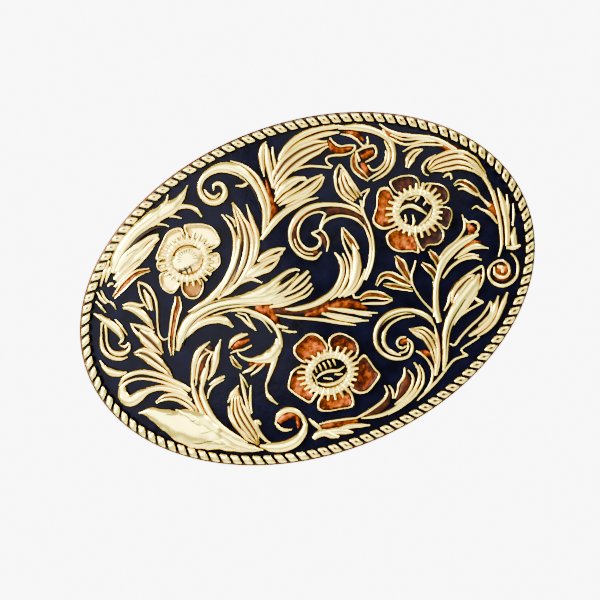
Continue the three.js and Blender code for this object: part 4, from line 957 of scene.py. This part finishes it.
overlay("leaf_spray_lower_right", [
    rib((0.3, 0.6, 0.5, 0.5, 0.5, 0.5, 0.4), (22.6, -20.8), (23.4, -21.4), (25.2, -20.3), (27.8, -19.1),
        (30.4, -18.1), (32.2, -17), (33.4, -15.9)),
    rib((0.4, 0.5, 0.6, 0.3), (33.5, -16.1), (33, -17.6), (31.8, -18.7), (29.3, -19.6)),
    rib((0.6, 1, 1.1, 1, 1, 0.4), (26.8, -20.8), (29.2, -20.4), (31.4, -19.6), (33.2, -18.3),
        (34.2, -16.9), (35.3, -15.5)),
    rib((0.4, 0.7, 0.8, 0.9, 1, 0.5), (28.3, -21.5), (30.8, -21), (33, -19.9), (34.8, -18.2),
        (36.2, -16.7), (37.3, -15.5)),
    rib((0.4, 0.5, 0.4, 0.4, 0.5, 0.5, 0.5, 0.6, 0.6, 0.6, 0.3), (28.6, -21.8), (26.5, -22.2),
        (24.4, -22.7), (24.5, -23.6), (25.1, -24.3), (23.6, -24.1), (22, -24.2), (20.2, -25.2),
        (18, -26.5), (15.2, -27.8), (12.3, -29)),
])

# --- Overlays of the bottom edge --------------------------------------------------------------
# A spray of long curved fingers and the curled leaf beside it, with copper-coloured hollows.
overlay("leaf_spray_bottom", [
    rib((0.4, 0.5, 0.6, 0.6, 0.6, 0.3), (7.3, -23.8), (7.3, -25.2), (6.2, -26.3), (3.8, -27.1),
        (1.2, -27.6), (-0.6, -27.8)),
    rib((0.3, 0.5, 0.4), (8.1, -24.1), (8.4, -25.4), (7.9, -26.8)),
    umber((0.8, 1.5, 1.5, 0.6), (7.7, -25.4), (6, -27), (3.5, -27.9), (1.2, -28.1)),
    rib((0.4, 0.6, 0.5, 0.4, 0.3), (12.3, -22), (11.6, -23.5), (10, -24.6), (9.3, -25.8), (8.3, -26.9)),
    rib((0.4, 0.5, 0.6, 0.6, 0.3), (12.8, -22.7), (13.2, -24.2), (12.4, -25.8), (10.4, -27.2),
        (7.8, -28.1)),
    umber((0.6, 1.8, 1.4, 0.6), (12.3, -23.2), (11.6, -24.8), (10.2, -26.2), (8.6, -27.3)),
    rib((0.4, 0.6, 0.6, 0.6, 0.6, 0.3), (14.5, -21.7), (14.8, -23.5), (14, -25.4), (12, -27.1),
        (9, -28.3), (6.4, -28.9)),
    rib((0.3, 0.5, 0.5, 0.6, 0.6, 0.3), (15.3, -22.5), (15.4, -24.4), (14.4, -26.4), (12, -28),
        (8.8, -29), (5.8, -29.5)),
    umber((0.5, 1.2, 1.2, 0.5), (15, -23.6), (14, -25.8), (11.8, -27.5), (8, -28.8)),
    rib((0.3, 0.7, 0.8, 0.7, 0.6, 0.3), (0.5, -28.2), (2.8, -28.8), (5.2, -29.1), (8, -28.7),
        (10.6, -28), (13, -26.9)),
])
overlay("leaf_curl_bottom", [
    rib((0.4, 0.9, 0.8, 0.4), (-9.3, -24.5), (-8.6, -25.9), (-8, -27), (-8.2, -27.9)),
    rib((0.3, 0.5, 0.5, 0.4), (-7.8, -26.2), (-5.4, -26.5), (-2.8, -27.1), (-0.3, -27.8)),
    copper((0.7, 1.3, 1.3, 0.6), (-7.5, -26.9), (-5, -27.3), (-2.6, -27.9), (-0.3, -28.4)),
    rib((0.9, 1.3, 1.4, 1.2, 0.6), (-9.9, -28.5), (-8.6, -28), (-7.3, -28.2), (-6.3, -29.2), (-5.1, -30)),
    rib((0.7, 1.3, 1.2, 0.5), (-6.9, -28), (-4.8, -28.8), (-3.4, -29.5), (-2.1, -30.2)),
    rib((0.6, 1, 0.9, 0.4), (-4.4, -28.5), (-2, -28.9), (-0.2, -29.5), (1.6, -30.1)),
])

# --- Flowers ----------------------------------------------------------------------------------
# Three flowers of cupped petals with raised rims, and on them a ring of stamens, each a small bar,
# round a centre. The upper left one is all gold, with a domed centre. The others have copper-coloured
# petals and a few ribs in the centre.
# Each petal's hollow is painted lighter or darker as the light falls on it, mostly lighter on the left:
# painted light and shade.
PETAL_TOP = 3.9
PETAL_RIM = 0.2
STAMEN_FLOOR = 3.6
STAMEN_TOP = 4.9
STAMENS = 26
RING_PLACE = 0.72


def smooth_loop(points, step=0.5):
    """A closed Catmull-Rom line through the points."""
    around = [Vector(p) for p in points]
    count = len(around)
    places = []
    for i in range(count):
        a, b, c, d = (around[(i + k - 1) % count] for k in range(4))
        cuts = max(1, round((c - b).length / step))
        for k in range(cuts):
            places.append(between(a, b, c, d, k / cuts))
    return places


def cup_petal(relief, outline, warmth, depth, polish_and_painted_light):
    """A petal: a thick sheet of that outline, its rim raised round a hollow that depth deep, the rim painted
    bright as a painted highlight.

    Warmth is how coppery the hollow is, and the last argument how bright the hollow is painted: painted
    light and shade."""
    bm, tone, warm = new_relief()
    base = GROUND - SUNK
    face = bm.faces.new([bm.verts.new((p.x, -base, p.y)) for p in smooth_loop(outline)])
    face.normal_update()
    if face.normal.y > 0:
        face.normal_flip()
    raised, (top,) = extrude(bm, [face])
    bmesh.ops.translate(bm, verts=raised, vec=(0, base - PETAL_TOP + PETAL_RIM, 0))
    for vert in raised:
        vert[tone] = 0.5
    middle = top.calc_center_median()
    # Each step inwards is (its size over the last one's, rise, tone, how coppery). The rim is painted
    # bright, a painted highlight, and the hollow darker, patina with painted shade, scaled by the petal's
    # painted light.
    for size, up, shade, coppery in (
        (0.95, 0.25, 1, 0), (0.94, 0, 1, 0), (0.95, -depth * 0.6, 0.3 * polish_and_painted_light, 0.8),
        (0.88, -depth * 0.4, 0.45 * polish_and_painted_light, 1), (0.6, -0.03, 0.62 * polish_and_painted_light, 1),
    ):
        outer = top
        top = extrude(bm, [outer])[1][0]
        bmesh.ops.delete(bm, geom=[outer], context="FACES_ONLY")
        space = Matrix.Translation(-middle)
        bmesh.ops.scale(bm, verts=top.verts, vec=(size, 1, size), space=space)
        bmesh.ops.translate(bm, verts=top.verts, vec=(0, -up, 0))
        for vert in top.verts:
            vert[tone] = shade
            vert[warm] = warmth * coppery
    join(relief, bm)


def flower(name, petals, petal_painted_light, middle, ring, centre, warmth, depth):
    """A flower: petals, each painted lighter or darker by its own level of painted light, a ring of stamens
    with those half-widths about its middle, and a centre.
    """
    relief = new_relief()
    for outline, polish_and_painted_light in zip(petals, petal_painted_light):
        cup_petal(relief, outline, warmth, depth, polish_and_painted_light)
    finish_relief(f"flower_petals_{name}", relief)

    def round_middle(share, turn):
        return middle[0] + share * ring[0] * math.cos(turn), middle[1] + share * ring[1] * math.sin(turn)

    relief = new_relief()
    rise = STAMEN_TOP - STAMEN_FLOOR
    band = [round_middle(RING_PLACE, 2 * math.pi * i / 24) for i in range(25)]
    carve(relief, RIB, band, (1.3, 1.3), rise * 0.8, floor_height=STAMEN_FLOOR)
    for i in range(STAMENS):
        turn = 2 * math.pi * i / STAMENS
        # Their lengths vary a little round the ring.
        reach = 1.02 + 0.07 * math.sin(3 * turn + ring[0])
        bar = [round_middle(share, turn) for share in (0.6, 0.8, reach)]
        carve(relief, RIB, bar, (0.55, 0.72, 0.6), rise, floor_height=STAMEN_FLOOR)
    finish_relief(f"flower_stamens_{name}", relief)
    relief = new_relief()
    carve_all(relief, centre, STAMEN_FLOOR - 0.5)
    finish_relief(f"flower_centre_{name}", relief)


flower("upper_left", [
    [(-26.2, 16.4), (-25.4, 17.8), (-24, 19.2), (-22.2, 20.8), (-20.2, 21.1), (-19, 20.3), (-19.4, 17),
     (-22.4, 15.6)],
    [(-18.6, 20.8), (-16.4, 20.5), (-14.4, 19.6), (-13.2, 18.3), (-12.7, 16.4), (-13, 14.8), (-15.5, 14.4),
     (-18.2, 16.8)],
    [(-14.2, 13.4), (-14, 12.2), (-14.6, 10.9), (-16.6, 10.1), (-18.4, 10), (-19.2, 11.6), (-17.4, 13.6)],
    [(-19, 9.4), (-19.2, 8), (-20.2, 6.8), (-21.6, 6.3), (-23.1, 7), (-23.7, 8.8), (-22.8, 10.8),
     (-20.4, 11)],
    [(-24.2, 9.6), (-25.7, 9), (-27, 10.3), (-27.2, 12), (-26.4, 13.7), (-23.8, 13.2), (-23, 11)],
    [(-26.3, 14.2), (-26.5, 15.6), (-25.2, 16.4), (-22.6, 15.2), (-23.4, 13.8)],
], (1.6, 1.6, 1.5, 0.6, 1.5, 1.5), (-20.3, 14.2), (5.4, 5.2), [
    rib((2.6, 4.6, 4.8, 4.4, 2.4), (-23.4, 14.2), (-22, 14.1), (-20.4, 14.2), (-18.6, 14.3), (-17.2, 14.4),
        rise=1.1),
    line(0.6, (-22.8, 13.4), (-22.4, 12.7), (-22.3, 11.8), rise=1.15),
    line(0.6, (-21.6, 13.6), (-21.3, 12.4), (-21.2, 11.3), rise=1.15),
    line(0.5, (-20.5, 13.5), (-20.3, 12.4), (-20.3, 11.2), rise=1.15),
    line(0.4, (-23, 12.6), (-21.5, 12.4), (-19.8, 12.7), rise=1.16),
    *(line(0.28, *[
        (-20.3 + reach * math.cos(turn), 14.4 + 0.95 * reach * math.sin(turn)) for reach in (0.9, 1.6, 2.3)
    ], rise=1.14) for turn in (math.pi * i / 10 for i in range(-1, 11))),
    rib((0.3, 0.5, 0.3), (-19.5, 13), (-18.6, 12.5), (-17.7, 12.6), rise=1.3),
    rib((0.3, 0.6, 0.6, 0.3), (-23, 15.2), (-21.4, 16.2), (-19.4, 16.3), (-17.8, 15.6), rise=1.3),
], warmth=0, depth=0.3)
flower("upper_right", [
    [(22.9, 12), (22.3, 13.2), (21, 13.5), (19.9, 12.5), (18.7, 10), (17.2, 8.1), (17.3, 6.6), (18.7, 5.3),
     (21.5, 5.4), (22.8, 8)],
    [(21.2, 4.8), (18.8, 4.4), (18.2, 2.8), (18.6, 1.2), (20, 0), (22.4, -0.9), (23.6, -1.6), (24, 1),
     (23.4, 3.8)],
    [(24.2, -1.5), (25.6, -0.8), (27.6, -1.4), (28.9, -0.9), (29.8, 0.4), (29, 2.6), (26, 3.4), (24, 1.8)],
    [(30.4, 0.8), (31.6, 1.8), (32.7, 3.3), (32.6, 4.7), (31, 5.4), (29, 4.4), (29.2, 2.6)],
    [(31.6, 5.8), (33.1, 6.2), (33.6, 8), (32.8, 9.6), (31.2, 10.6), (29.6, 11), (28.6, 9), (29, 6.8)],
    [(28.9, 11.6), (28.4, 13.2), (26.6, 14.1), (24.8, 14.3), (23.1, 13.9), (23.5, 11.4), (25.5, 9),
     (28, 9.6)],
], (0.85, 0.85, 0.25, 0.3, 0.3, 0.25), (26, 6.6), (5.7, 5.2), [
    rib((0.4, 0.9, 0.9, 0.8, 0.4), (22.3, 7.2), (23.8, 8.1), (25.6, 7.8), (26.9, 6.5), (27.8, 5.2)),
    rib((0.3, 0.6, 0.3), (22.5, 4.6), (23.4, 5.4), (23.7, 6.6)),
    rib((0.3, 0.6, 0.3), (24.1, 3.8), (24.9, 4.7), (25.1, 6)),
    rib((0.3, 0.8, 0.8, 0.3), (25.4, 3.6), (26.8, 3.9), (28.2, 4.7), (29.2, 5.8)),
    rib((0.3, 0.6, 0.4), (26.6, 8.3), (27.6, 9), (28.4, 9.9)),
    rib((0.3, 0.6, 0.4), (27.8, 7), (28.9, 7.7), (29.8, 8.4)),
], warmth=1, depth=0.6)
flower("lower", [
    [(-5.8, -13.9), (-7, -12.6), (-7.4, -11), (-6.8, -9.8), (-5, -9), (-3.2, -8.4), (-1.6, -9.1),
     (-0.6, -11), (-0.6, -13), (-3, -14.4)],
    [(-0.2, -12.8), (0, -11.2), (1, -10.5), (2.8, -10.6), (4.2, -11.8), (5.2, -13.4), (5.2, -15),
     (4.2, -16.2), (1, -15.6)],
    [(4.4, -16.8), (5.8, -16.4), (6.4, -18), (6.8, -19.8), (7.3, -21.5), (5.6, -22.8), (3.5, -23.8),
     (1.6, -23.3), (0.6, -21.6), (2, -18.6)],
    [(0.2, -22), (0.6, -24), (-0.2, -25.4), (-2.6, -25), (-5.4, -24.4), (-7, -23.3), (-6, -21.4),
     (-3, -20.4)],
    [(-6.4, -20.8), (-8, -21.6), (-9.3, -20.1), (-10.6, -18.2), (-11, -17), (-10, -15.3), (-8.8, -14.1),
     (-7, -13.9), (-5.4, -15.4), (-5, -18.6)],
], (0.75, 0.5, 0.5, 0.75, 0.85), (-2.1, -17.4), (6.1, 5), [
    rib((0.3, 0.6, 0.7, 0.6, 0.3), (-5, -17.4), (-3.4, -16.9), (-1.8, -17), (-0.3, -17.5), (1.2, -17.2)),
    rib((0.3, 0.8, 0.9, 0.8, 0.3), (-5.2, -18.2), (-3.6, -19.4), (-1.6, -19.8), (0.4, -19.3),
        (1.6, -18.2)),
    rib((0.3, 0.5, 0.3), (-3.6, -17.9), (-2.8, -18.3), (-2, -18.8)),
    rib((0.3, 0.5, 0.3), (-1.2, -18), (-0.5, -18.3), (0.3, -18.5)),
    *(rib((0.3, 0.45, 0.35), (x - 0.4, -16.4), (x - 0.4, -15.7), (x - 0.5, -15)) for x in range(-4, 1)),
], warmth=1, depth=0.6)

# --- Hinge lugs -------------------------------------------------------------------------------
# Two short gold-plated lugs, each a barrel on a broad foot, drawn as one strip, drilled, sawn off
# and soldered on the back. The bail's ends turn in their bores.
# The plate's bend has a flat seat each SEAT_STEP radians, on which the back's fittings stand.
SEAT_STEP = 0.0365
LUG_RADIUS = 2.6
BORE_RADIUS = 1.65
LUG_FOOT = 3.6
LUG_SOLE = 0.05
AXIS_HEIGHT = 3.2
AROUND = 64


def hardware_gold():
    """Drawn and turned brass under gold plate: clean, bright, lightly scratched by use."""
    made, tree = new_material("gold_plated_hardware")
    place = node(tree, "ShaderNodeTexCoord")
    wear = node(
        tree, "ShaderNodeTexNoise", {"Scale": 700, "Detail": 5}, {"Vector": (place, "Object")},
    )
    # Scratches about 0.1 mm across, run lengthwise by the strap.
    thin = node(tree, "ShaderNodeMapping", {"Scale": (2500, 9000, 9000)}, {"Vector": (place, "Object")})
    scratches = node(tree, "ShaderNodeTexNoise", {"Scale": 1, "Detail": 4}, {"Vector": (thin, "Vector")})
    colour = ramp(tree, [(0.3, "#a87a2c"), (0.6, "#c8963c"), (0.8, "#d8aa50")], wear, "Fac")
    rough = node(
        tree, "ShaderNodeMapRange", {"To Min": 0.16, "To Max": 0.38}, {"Value": (wear, "Fac")},
    )
    bump = node(
        tree, "ShaderNodeBump", {"Strength": 0.2, "Distance": 0.00002}, {"Height": (scratches, "Fac")},
    )
    shader = node(
        tree, "ShaderNodeBsdfPrincipled", {"Metallic": 1},
        {"Base Color": (colour, "Color"), "Roughness": (rough, "Result"), "Normal": (bump, "Normal")},
    )
    finish_material(tree, shader)
    return made


HARDWARE_GOLD = hardware_gold()


def on_seat(bm, seat_x, angle):
    """Moves a piece made over a flat seat, back towards +Y, onto the curved plate, in metres."""
    seat = Vector((seat_x, BEND_RADIUS * (1 - math.cos(angle)), 0))
    place = Matrix.Translation(seat * MM) @ Matrix.Rotation(angle, 4, "Z") @ Matrix.Scale(MM, 4)
    bmesh.ops.transform(bm, matrix=place, verts=bm.verts)


hinge_angle = 2 * SEAT_STEP
hinge_x = BEND_RADIUS * math.sin(hinge_angle)


def lug_outline(turn):
    """A point of the lug's side: the barrel above, the foot's slopes and sole below."""
    x, y = math.cos(turn), math.sin(turn)
    if y > -0.45:
        return Vector((LUG_RADIUS * x, AXIS_HEIGHT + LUG_RADIUS * y, 0))
    sole = AXIS_HEIGHT - LUG_SOLE
    if abs(x / y) * sole < LUG_FOOT:
        return Vector((-x / y * sole, LUG_SOLE, 0))
    side = math.copysign(1, x)
    return Vector((side * LUG_FOOT, max(LUG_SOLE, AXIS_HEIGHT + y / abs(x) * LUG_FOOT), 0))


def bore_outline(turn):
    """A point of the lug's bore."""
    return Vector((BORE_RADIUS * math.cos(turn), AXIS_HEIGHT + BORE_RADIUS * math.sin(turn), 0))


for name in ("bail_lug_upper", "bail_lug_lower"):
    low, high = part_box(name)
    lug = bmesh.new()
    rings = []
    for outline in (lug_outline, bore_outline):
        verts = [lug.verts.new(outline(2 * math.pi * i / AROUND)) for i in range(AROUND)]
        rings += [lug.edges.new((verts[i], verts[(i + 1) % AROUND])) for i in range(AROUND)]
    bmesh.ops.bridge_loops(lug, edges=rings)
    raised, _ = extrude(lug, lug.faces[:])
    bmesh.ops.translate(lug, verts=raised, vec=(0, 0, (high[2] - low[2]) / MM))
    bmesh.ops.translate(lug, verts=lug.verts, vec=(0, 0, low[2] / MM))
    bmesh.ops.recalc_face_normals(lug, faces=lug.faces)
    rims = [
        e for e in lug.edges
        if abs(e.verts[0].co.z - e.verts[1].co.z) < 1e-4 and e.calc_face_angle(0) > 1
    ]
    bmesh.ops.bevel(
        lug, geom=rims, offset=0.2, segments=2, profile=0.5, affect="EDGES", material=-1,
    )
    on_seat(lug, hinge_x, hinge_angle)
    finish_piece(f"{name}_shown", lug, HARDWARE_GOLD, [name])

# --- Bail -------------------------------------------------------------------------------------
# One length of 3 mm gold-plated wire, bent into a square loop round the strap. Its two ends are
# turned in and sit in the lugs, so the loop swings like a door.
WIRE_RADIUS = 1.5
BAIL_HALF = 21.25
BAIL_REACH = 20
HINGE_BEND = 3
CORNER_BEND = 6
PIN_END = 12.5
PIN_CHAMFER = 0.86
SIDES = 24


def quarter_bend(middle, radius, start):
    """Points of a quarter turn from an angle in degrees, anticlockwise in the wire's plane."""
    steps = 10
    return [
        (middle[0] + radius * math.cos(math.radians(start + 90 * i / steps)),
         middle[1] + radius * math.sin(math.radians(start + 90 * i / steps)))
        for i in range(steps + 1)
    ]


half_route = (
    quarter_bend((BAIL_REACH - CORNER_BEND, BAIL_HALF - CORNER_BEND), CORNER_BEND, 0)
    + quarter_bend((HINGE_BEND, BAIL_HALF - HINGE_BEND), HINGE_BEND, 90)
    + [(0, PIN_END + 0.2), (0, PIN_END)]
)
route = [(x, -z) for x, z in reversed(half_route)] + half_route
bail = bmesh.new()
face, inner = None, []
for i, (x, z) in enumerate(route):
    ahead = Vector(route[min(i + 1, len(route) - 1)]) - Vector(route[max(i - 1, 0)])
    tangent = Vector((ahead.x, 0, ahead.y)).normalized()
    across = tangent.cross(Vector((0, 1, 0)))
    radius = WIRE_RADIUS * (PIN_CHAMFER if i in (0, len(route) - 1) else 1)
    if face is None:
        face = bail.faces.new([bail.verts.new() for _ in range(SIDES)])
    else:
        inner.append(face)
        face = extrude(bail, [face])[1][0]
    for k, vert in enumerate(face.verts):
        turn = 2 * math.pi * k / SIDES
        spoke = across * math.cos(turn) + Vector((0, 1, 0)) * math.sin(turn)
        vert.co = Vector((x, AXIS_HEIGHT, z)) + spoke * radius
bmesh.ops.delete(bail, geom=inner[1:], context="FACES_ONLY")
bmesh.ops.recalc_face_normals(bail, faces=bail.faces)
on_seat(bail, hinge_x, hinge_angle)
finish_piece("bail_shown", bail, HARDWARE_GOLD, ["bail"], body="bail", sharp=50)

# --- Prong ------------------------------------------------------------------------------------
# A turned peg with a waist and a rounded head, riveted through a round pad soldered on the back.
# It leans towards the strap's free end, so that the punched holes can't slip off.
PRONG_LENGTH = 6.4
PRONG_RADIUS = 2.1
PRONG_LEAN = 0.3
PRONG_SEAT = 1.5
PAD_RADIUS = 4.6
PAD_TOP = 1.2


def turned(profile, segments=48):
    """A solid spun round the Y axis from (radius, height) points."""
    bm = bmesh.new()
    verts = [bm.verts.new((r, h, 0)) for r, h in profile]
    edges = [bm.edges.new(pair) for pair in zip(verts, verts[1:])]
    bmesh.ops.spin(
        bm, geom=verts + edges, cent=(0, 0, 0), axis=(0, 1, 0), angle=2 * math.pi, steps=segments,
        use_merge=True, use_duplicate=False,
    )
    bmesh.ops.remove_doubles(bm, verts=bm.verts, dist=1e-4)
    bmesh.ops.recalc_face_normals(bm, faces=bm.faces)
    return bm


prong_angle = -3 * SEAT_STEP
prong_x = BEND_RADIUS * math.sin(prong_angle)
pad = turned([
    (0, 0.03), (PAD_RADIUS, 0.03), (PAD_RADIUS, 0.45), (PAD_RADIUS - 0.12, 0.75), (PAD_RADIUS - 0.45, 1),
    (PAD_RADIUS - 1, PAD_TOP), (3.2, PAD_TOP), (3.05, PAD_TOP - 0.12), (2.9, PAD_TOP), (0, PAD_TOP),
])
on_seat(pad, prong_x, prong_angle)
finish_piece("prong_pad_shown", pad, HARDWARE_GOLD, ["prong_pad"], sharp=30)

prong = turned([
    (0, -0.5), (PRONG_RADIUS + 0.3, -0.5), (PRONG_RADIUS + 0.25, -0.1), (PRONG_RADIUS, 0.3),
    (PRONG_RADIUS * 0.9, 1.4), (PRONG_RADIUS * 0.86, 3), (PRONG_RADIUS * 0.9, 4.2), (PRONG_RADIUS, 4.9),
    (PRONG_RADIUS * 0.99, 5.4), (PRONG_RADIUS * 0.9, 5.85), (PRONG_RADIUS * 0.72, 6.15),
    (PRONG_RADIUS * 0.5, 6.32), (PRONG_RADIUS * 0.25, 6.39), (0, PRONG_LENGTH),
])
base = Vector((0, PRONG_SEAT + PRONG_RADIUS * math.sin(PRONG_LEAN), 0))
lean = Matrix.Translation(base) @ Matrix.Rotation(PRONG_LEAN, 4, "Z")
bmesh.ops.transform(prong, matrix=lean, verts=prong.verts)
on_seat(prong, prong_x, prong_angle)
finish_piece("prong_shown", prong, HARDWARE_GOLD, ["prong"], sharp=30)

# --- Floor, light and camera ------------------------------------------------------------------
# A pale floor far below and a bright backdrop straight behind. A key and a low light come from the
# left, two broad cards fill the front, and one light each the right and the back. The camera looks
# straight at the front, turned about its own axis so that the oval rises to the right.
BACKDROP = 9
AMBIENT = 1.1
FLOOR_SIZE = 1.8
FLOOR_DROP = 0.5
floor = bmesh.new()
bmesh.ops.create_grid(floor, x_segments=1, y_segments=1, size=FLOOR_SIZE)
bmesh.ops.translate(floor, verts=floor.verts, vec=(0, 0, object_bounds()[0][2] - FLOOR_DROP))
floor_mesh = bpy.data.meshes.new("floor")
floor.to_mesh(floor_mesh)
floor.free()
floor_object = bpy.data.objects.new("floor", floor_mesh)
bpy.context.collection.objects.link(floor_object)
pale, tree = new_material("pale_floor")
finish_material(tree, node(
    tree, "ShaderNodeBsdfPrincipled", {"Base Color": linear("#f4f4f4"), "Roughness": 0.9},
))
floor_mesh.materials.append(pale)

# The world is bright only in a narrow cone behind the buckle, so that it doesn't wash the metal out.
world = bpy.data.worlds.new("studio")
world.use_nodes = True
tree = world.node_tree
place = node(tree, "ShaderNodeTexCoord")
along = node(tree, "ShaderNodeSeparateXYZ", links={"Vector": (place, "Generated")})
glow = node(
    tree, "ShaderNodeMapRange",
    {"From Min": 0.965, "From Max": 0.985, "To Min": AMBIENT, "To Max": BACKDROP}, {"Value": (along, "Y")},
)
backdrop = tree.nodes["Background"]
backdrop.inputs["Color"].default_value = linear("#fbfbfb")
tree.links.new(glow.outputs["Result"], backdrop.inputs["Strength"])
bpy.context.scene.world = world


def softbox(name, place, size, power):
    """A square soft light aimed at the buckle."""
    light = bpy.data.lights.new(name, "AREA")
    light.energy = power
    light.size = size
    lamp = bpy.data.objects.new(name, light)
    lamp.location = place
    lamp.rotation_euler = (-Vector(place)).to_track_quat("-Z", "Y").to_euler()
    bpy.context.collection.objects.link(lamp)


for name, place, size, power in (
    ("key_light", (-0.6, -0.65, 0.5), 0.36, 48),
    ("broad_card", (-0.32, -0.8, 0.16), 0.6, 10),
    ("right_card", (0.28, -0.85, 0.3), 0.5, 5),
    ("low_light", (-0.65, -0.5, 0.02), 0.14, 5),
    ("fill_light", (0.65, -0.55, 0.45), 0.3, 12),
    ("back_light", (0.2, 0.7, 0.6), 0.4, 6),
):
    softbox(name, place, size, power)

FRAME_WIDTH = 121.2
TILT = math.radians(21.5)
DISTANCE = 0.5
SENSOR = 36
AIM_ACROSS, AIM_UP = -1.5, -2.3
right = Vector((math.cos(TILT), 0, -math.sin(TILT)))
up = Vector((math.sin(TILT), 0, math.cos(TILT)))
target = (AIM_ACROSS * right + AIM_UP * up) * MM
camera_data = bpy.data.cameras.new("camera")
camera_data.lens = SENSOR * DISTANCE / (FRAME_WIDTH * MM)
camera_data.sensor_width = SENSOR
camera_data.clip_start = 0.01
camera = bpy.data.objects.new("camera", camera_data)
turn = Matrix((right, up, Vector((0, -1, 0)))).transposed().to_4x4()
camera.matrix_world = Matrix.Translation(target - Vector((0, DISTANCE, 0))) @ turn
bpy.context.collection.objects.link(camera)
bpy.context.scene.camera = camera
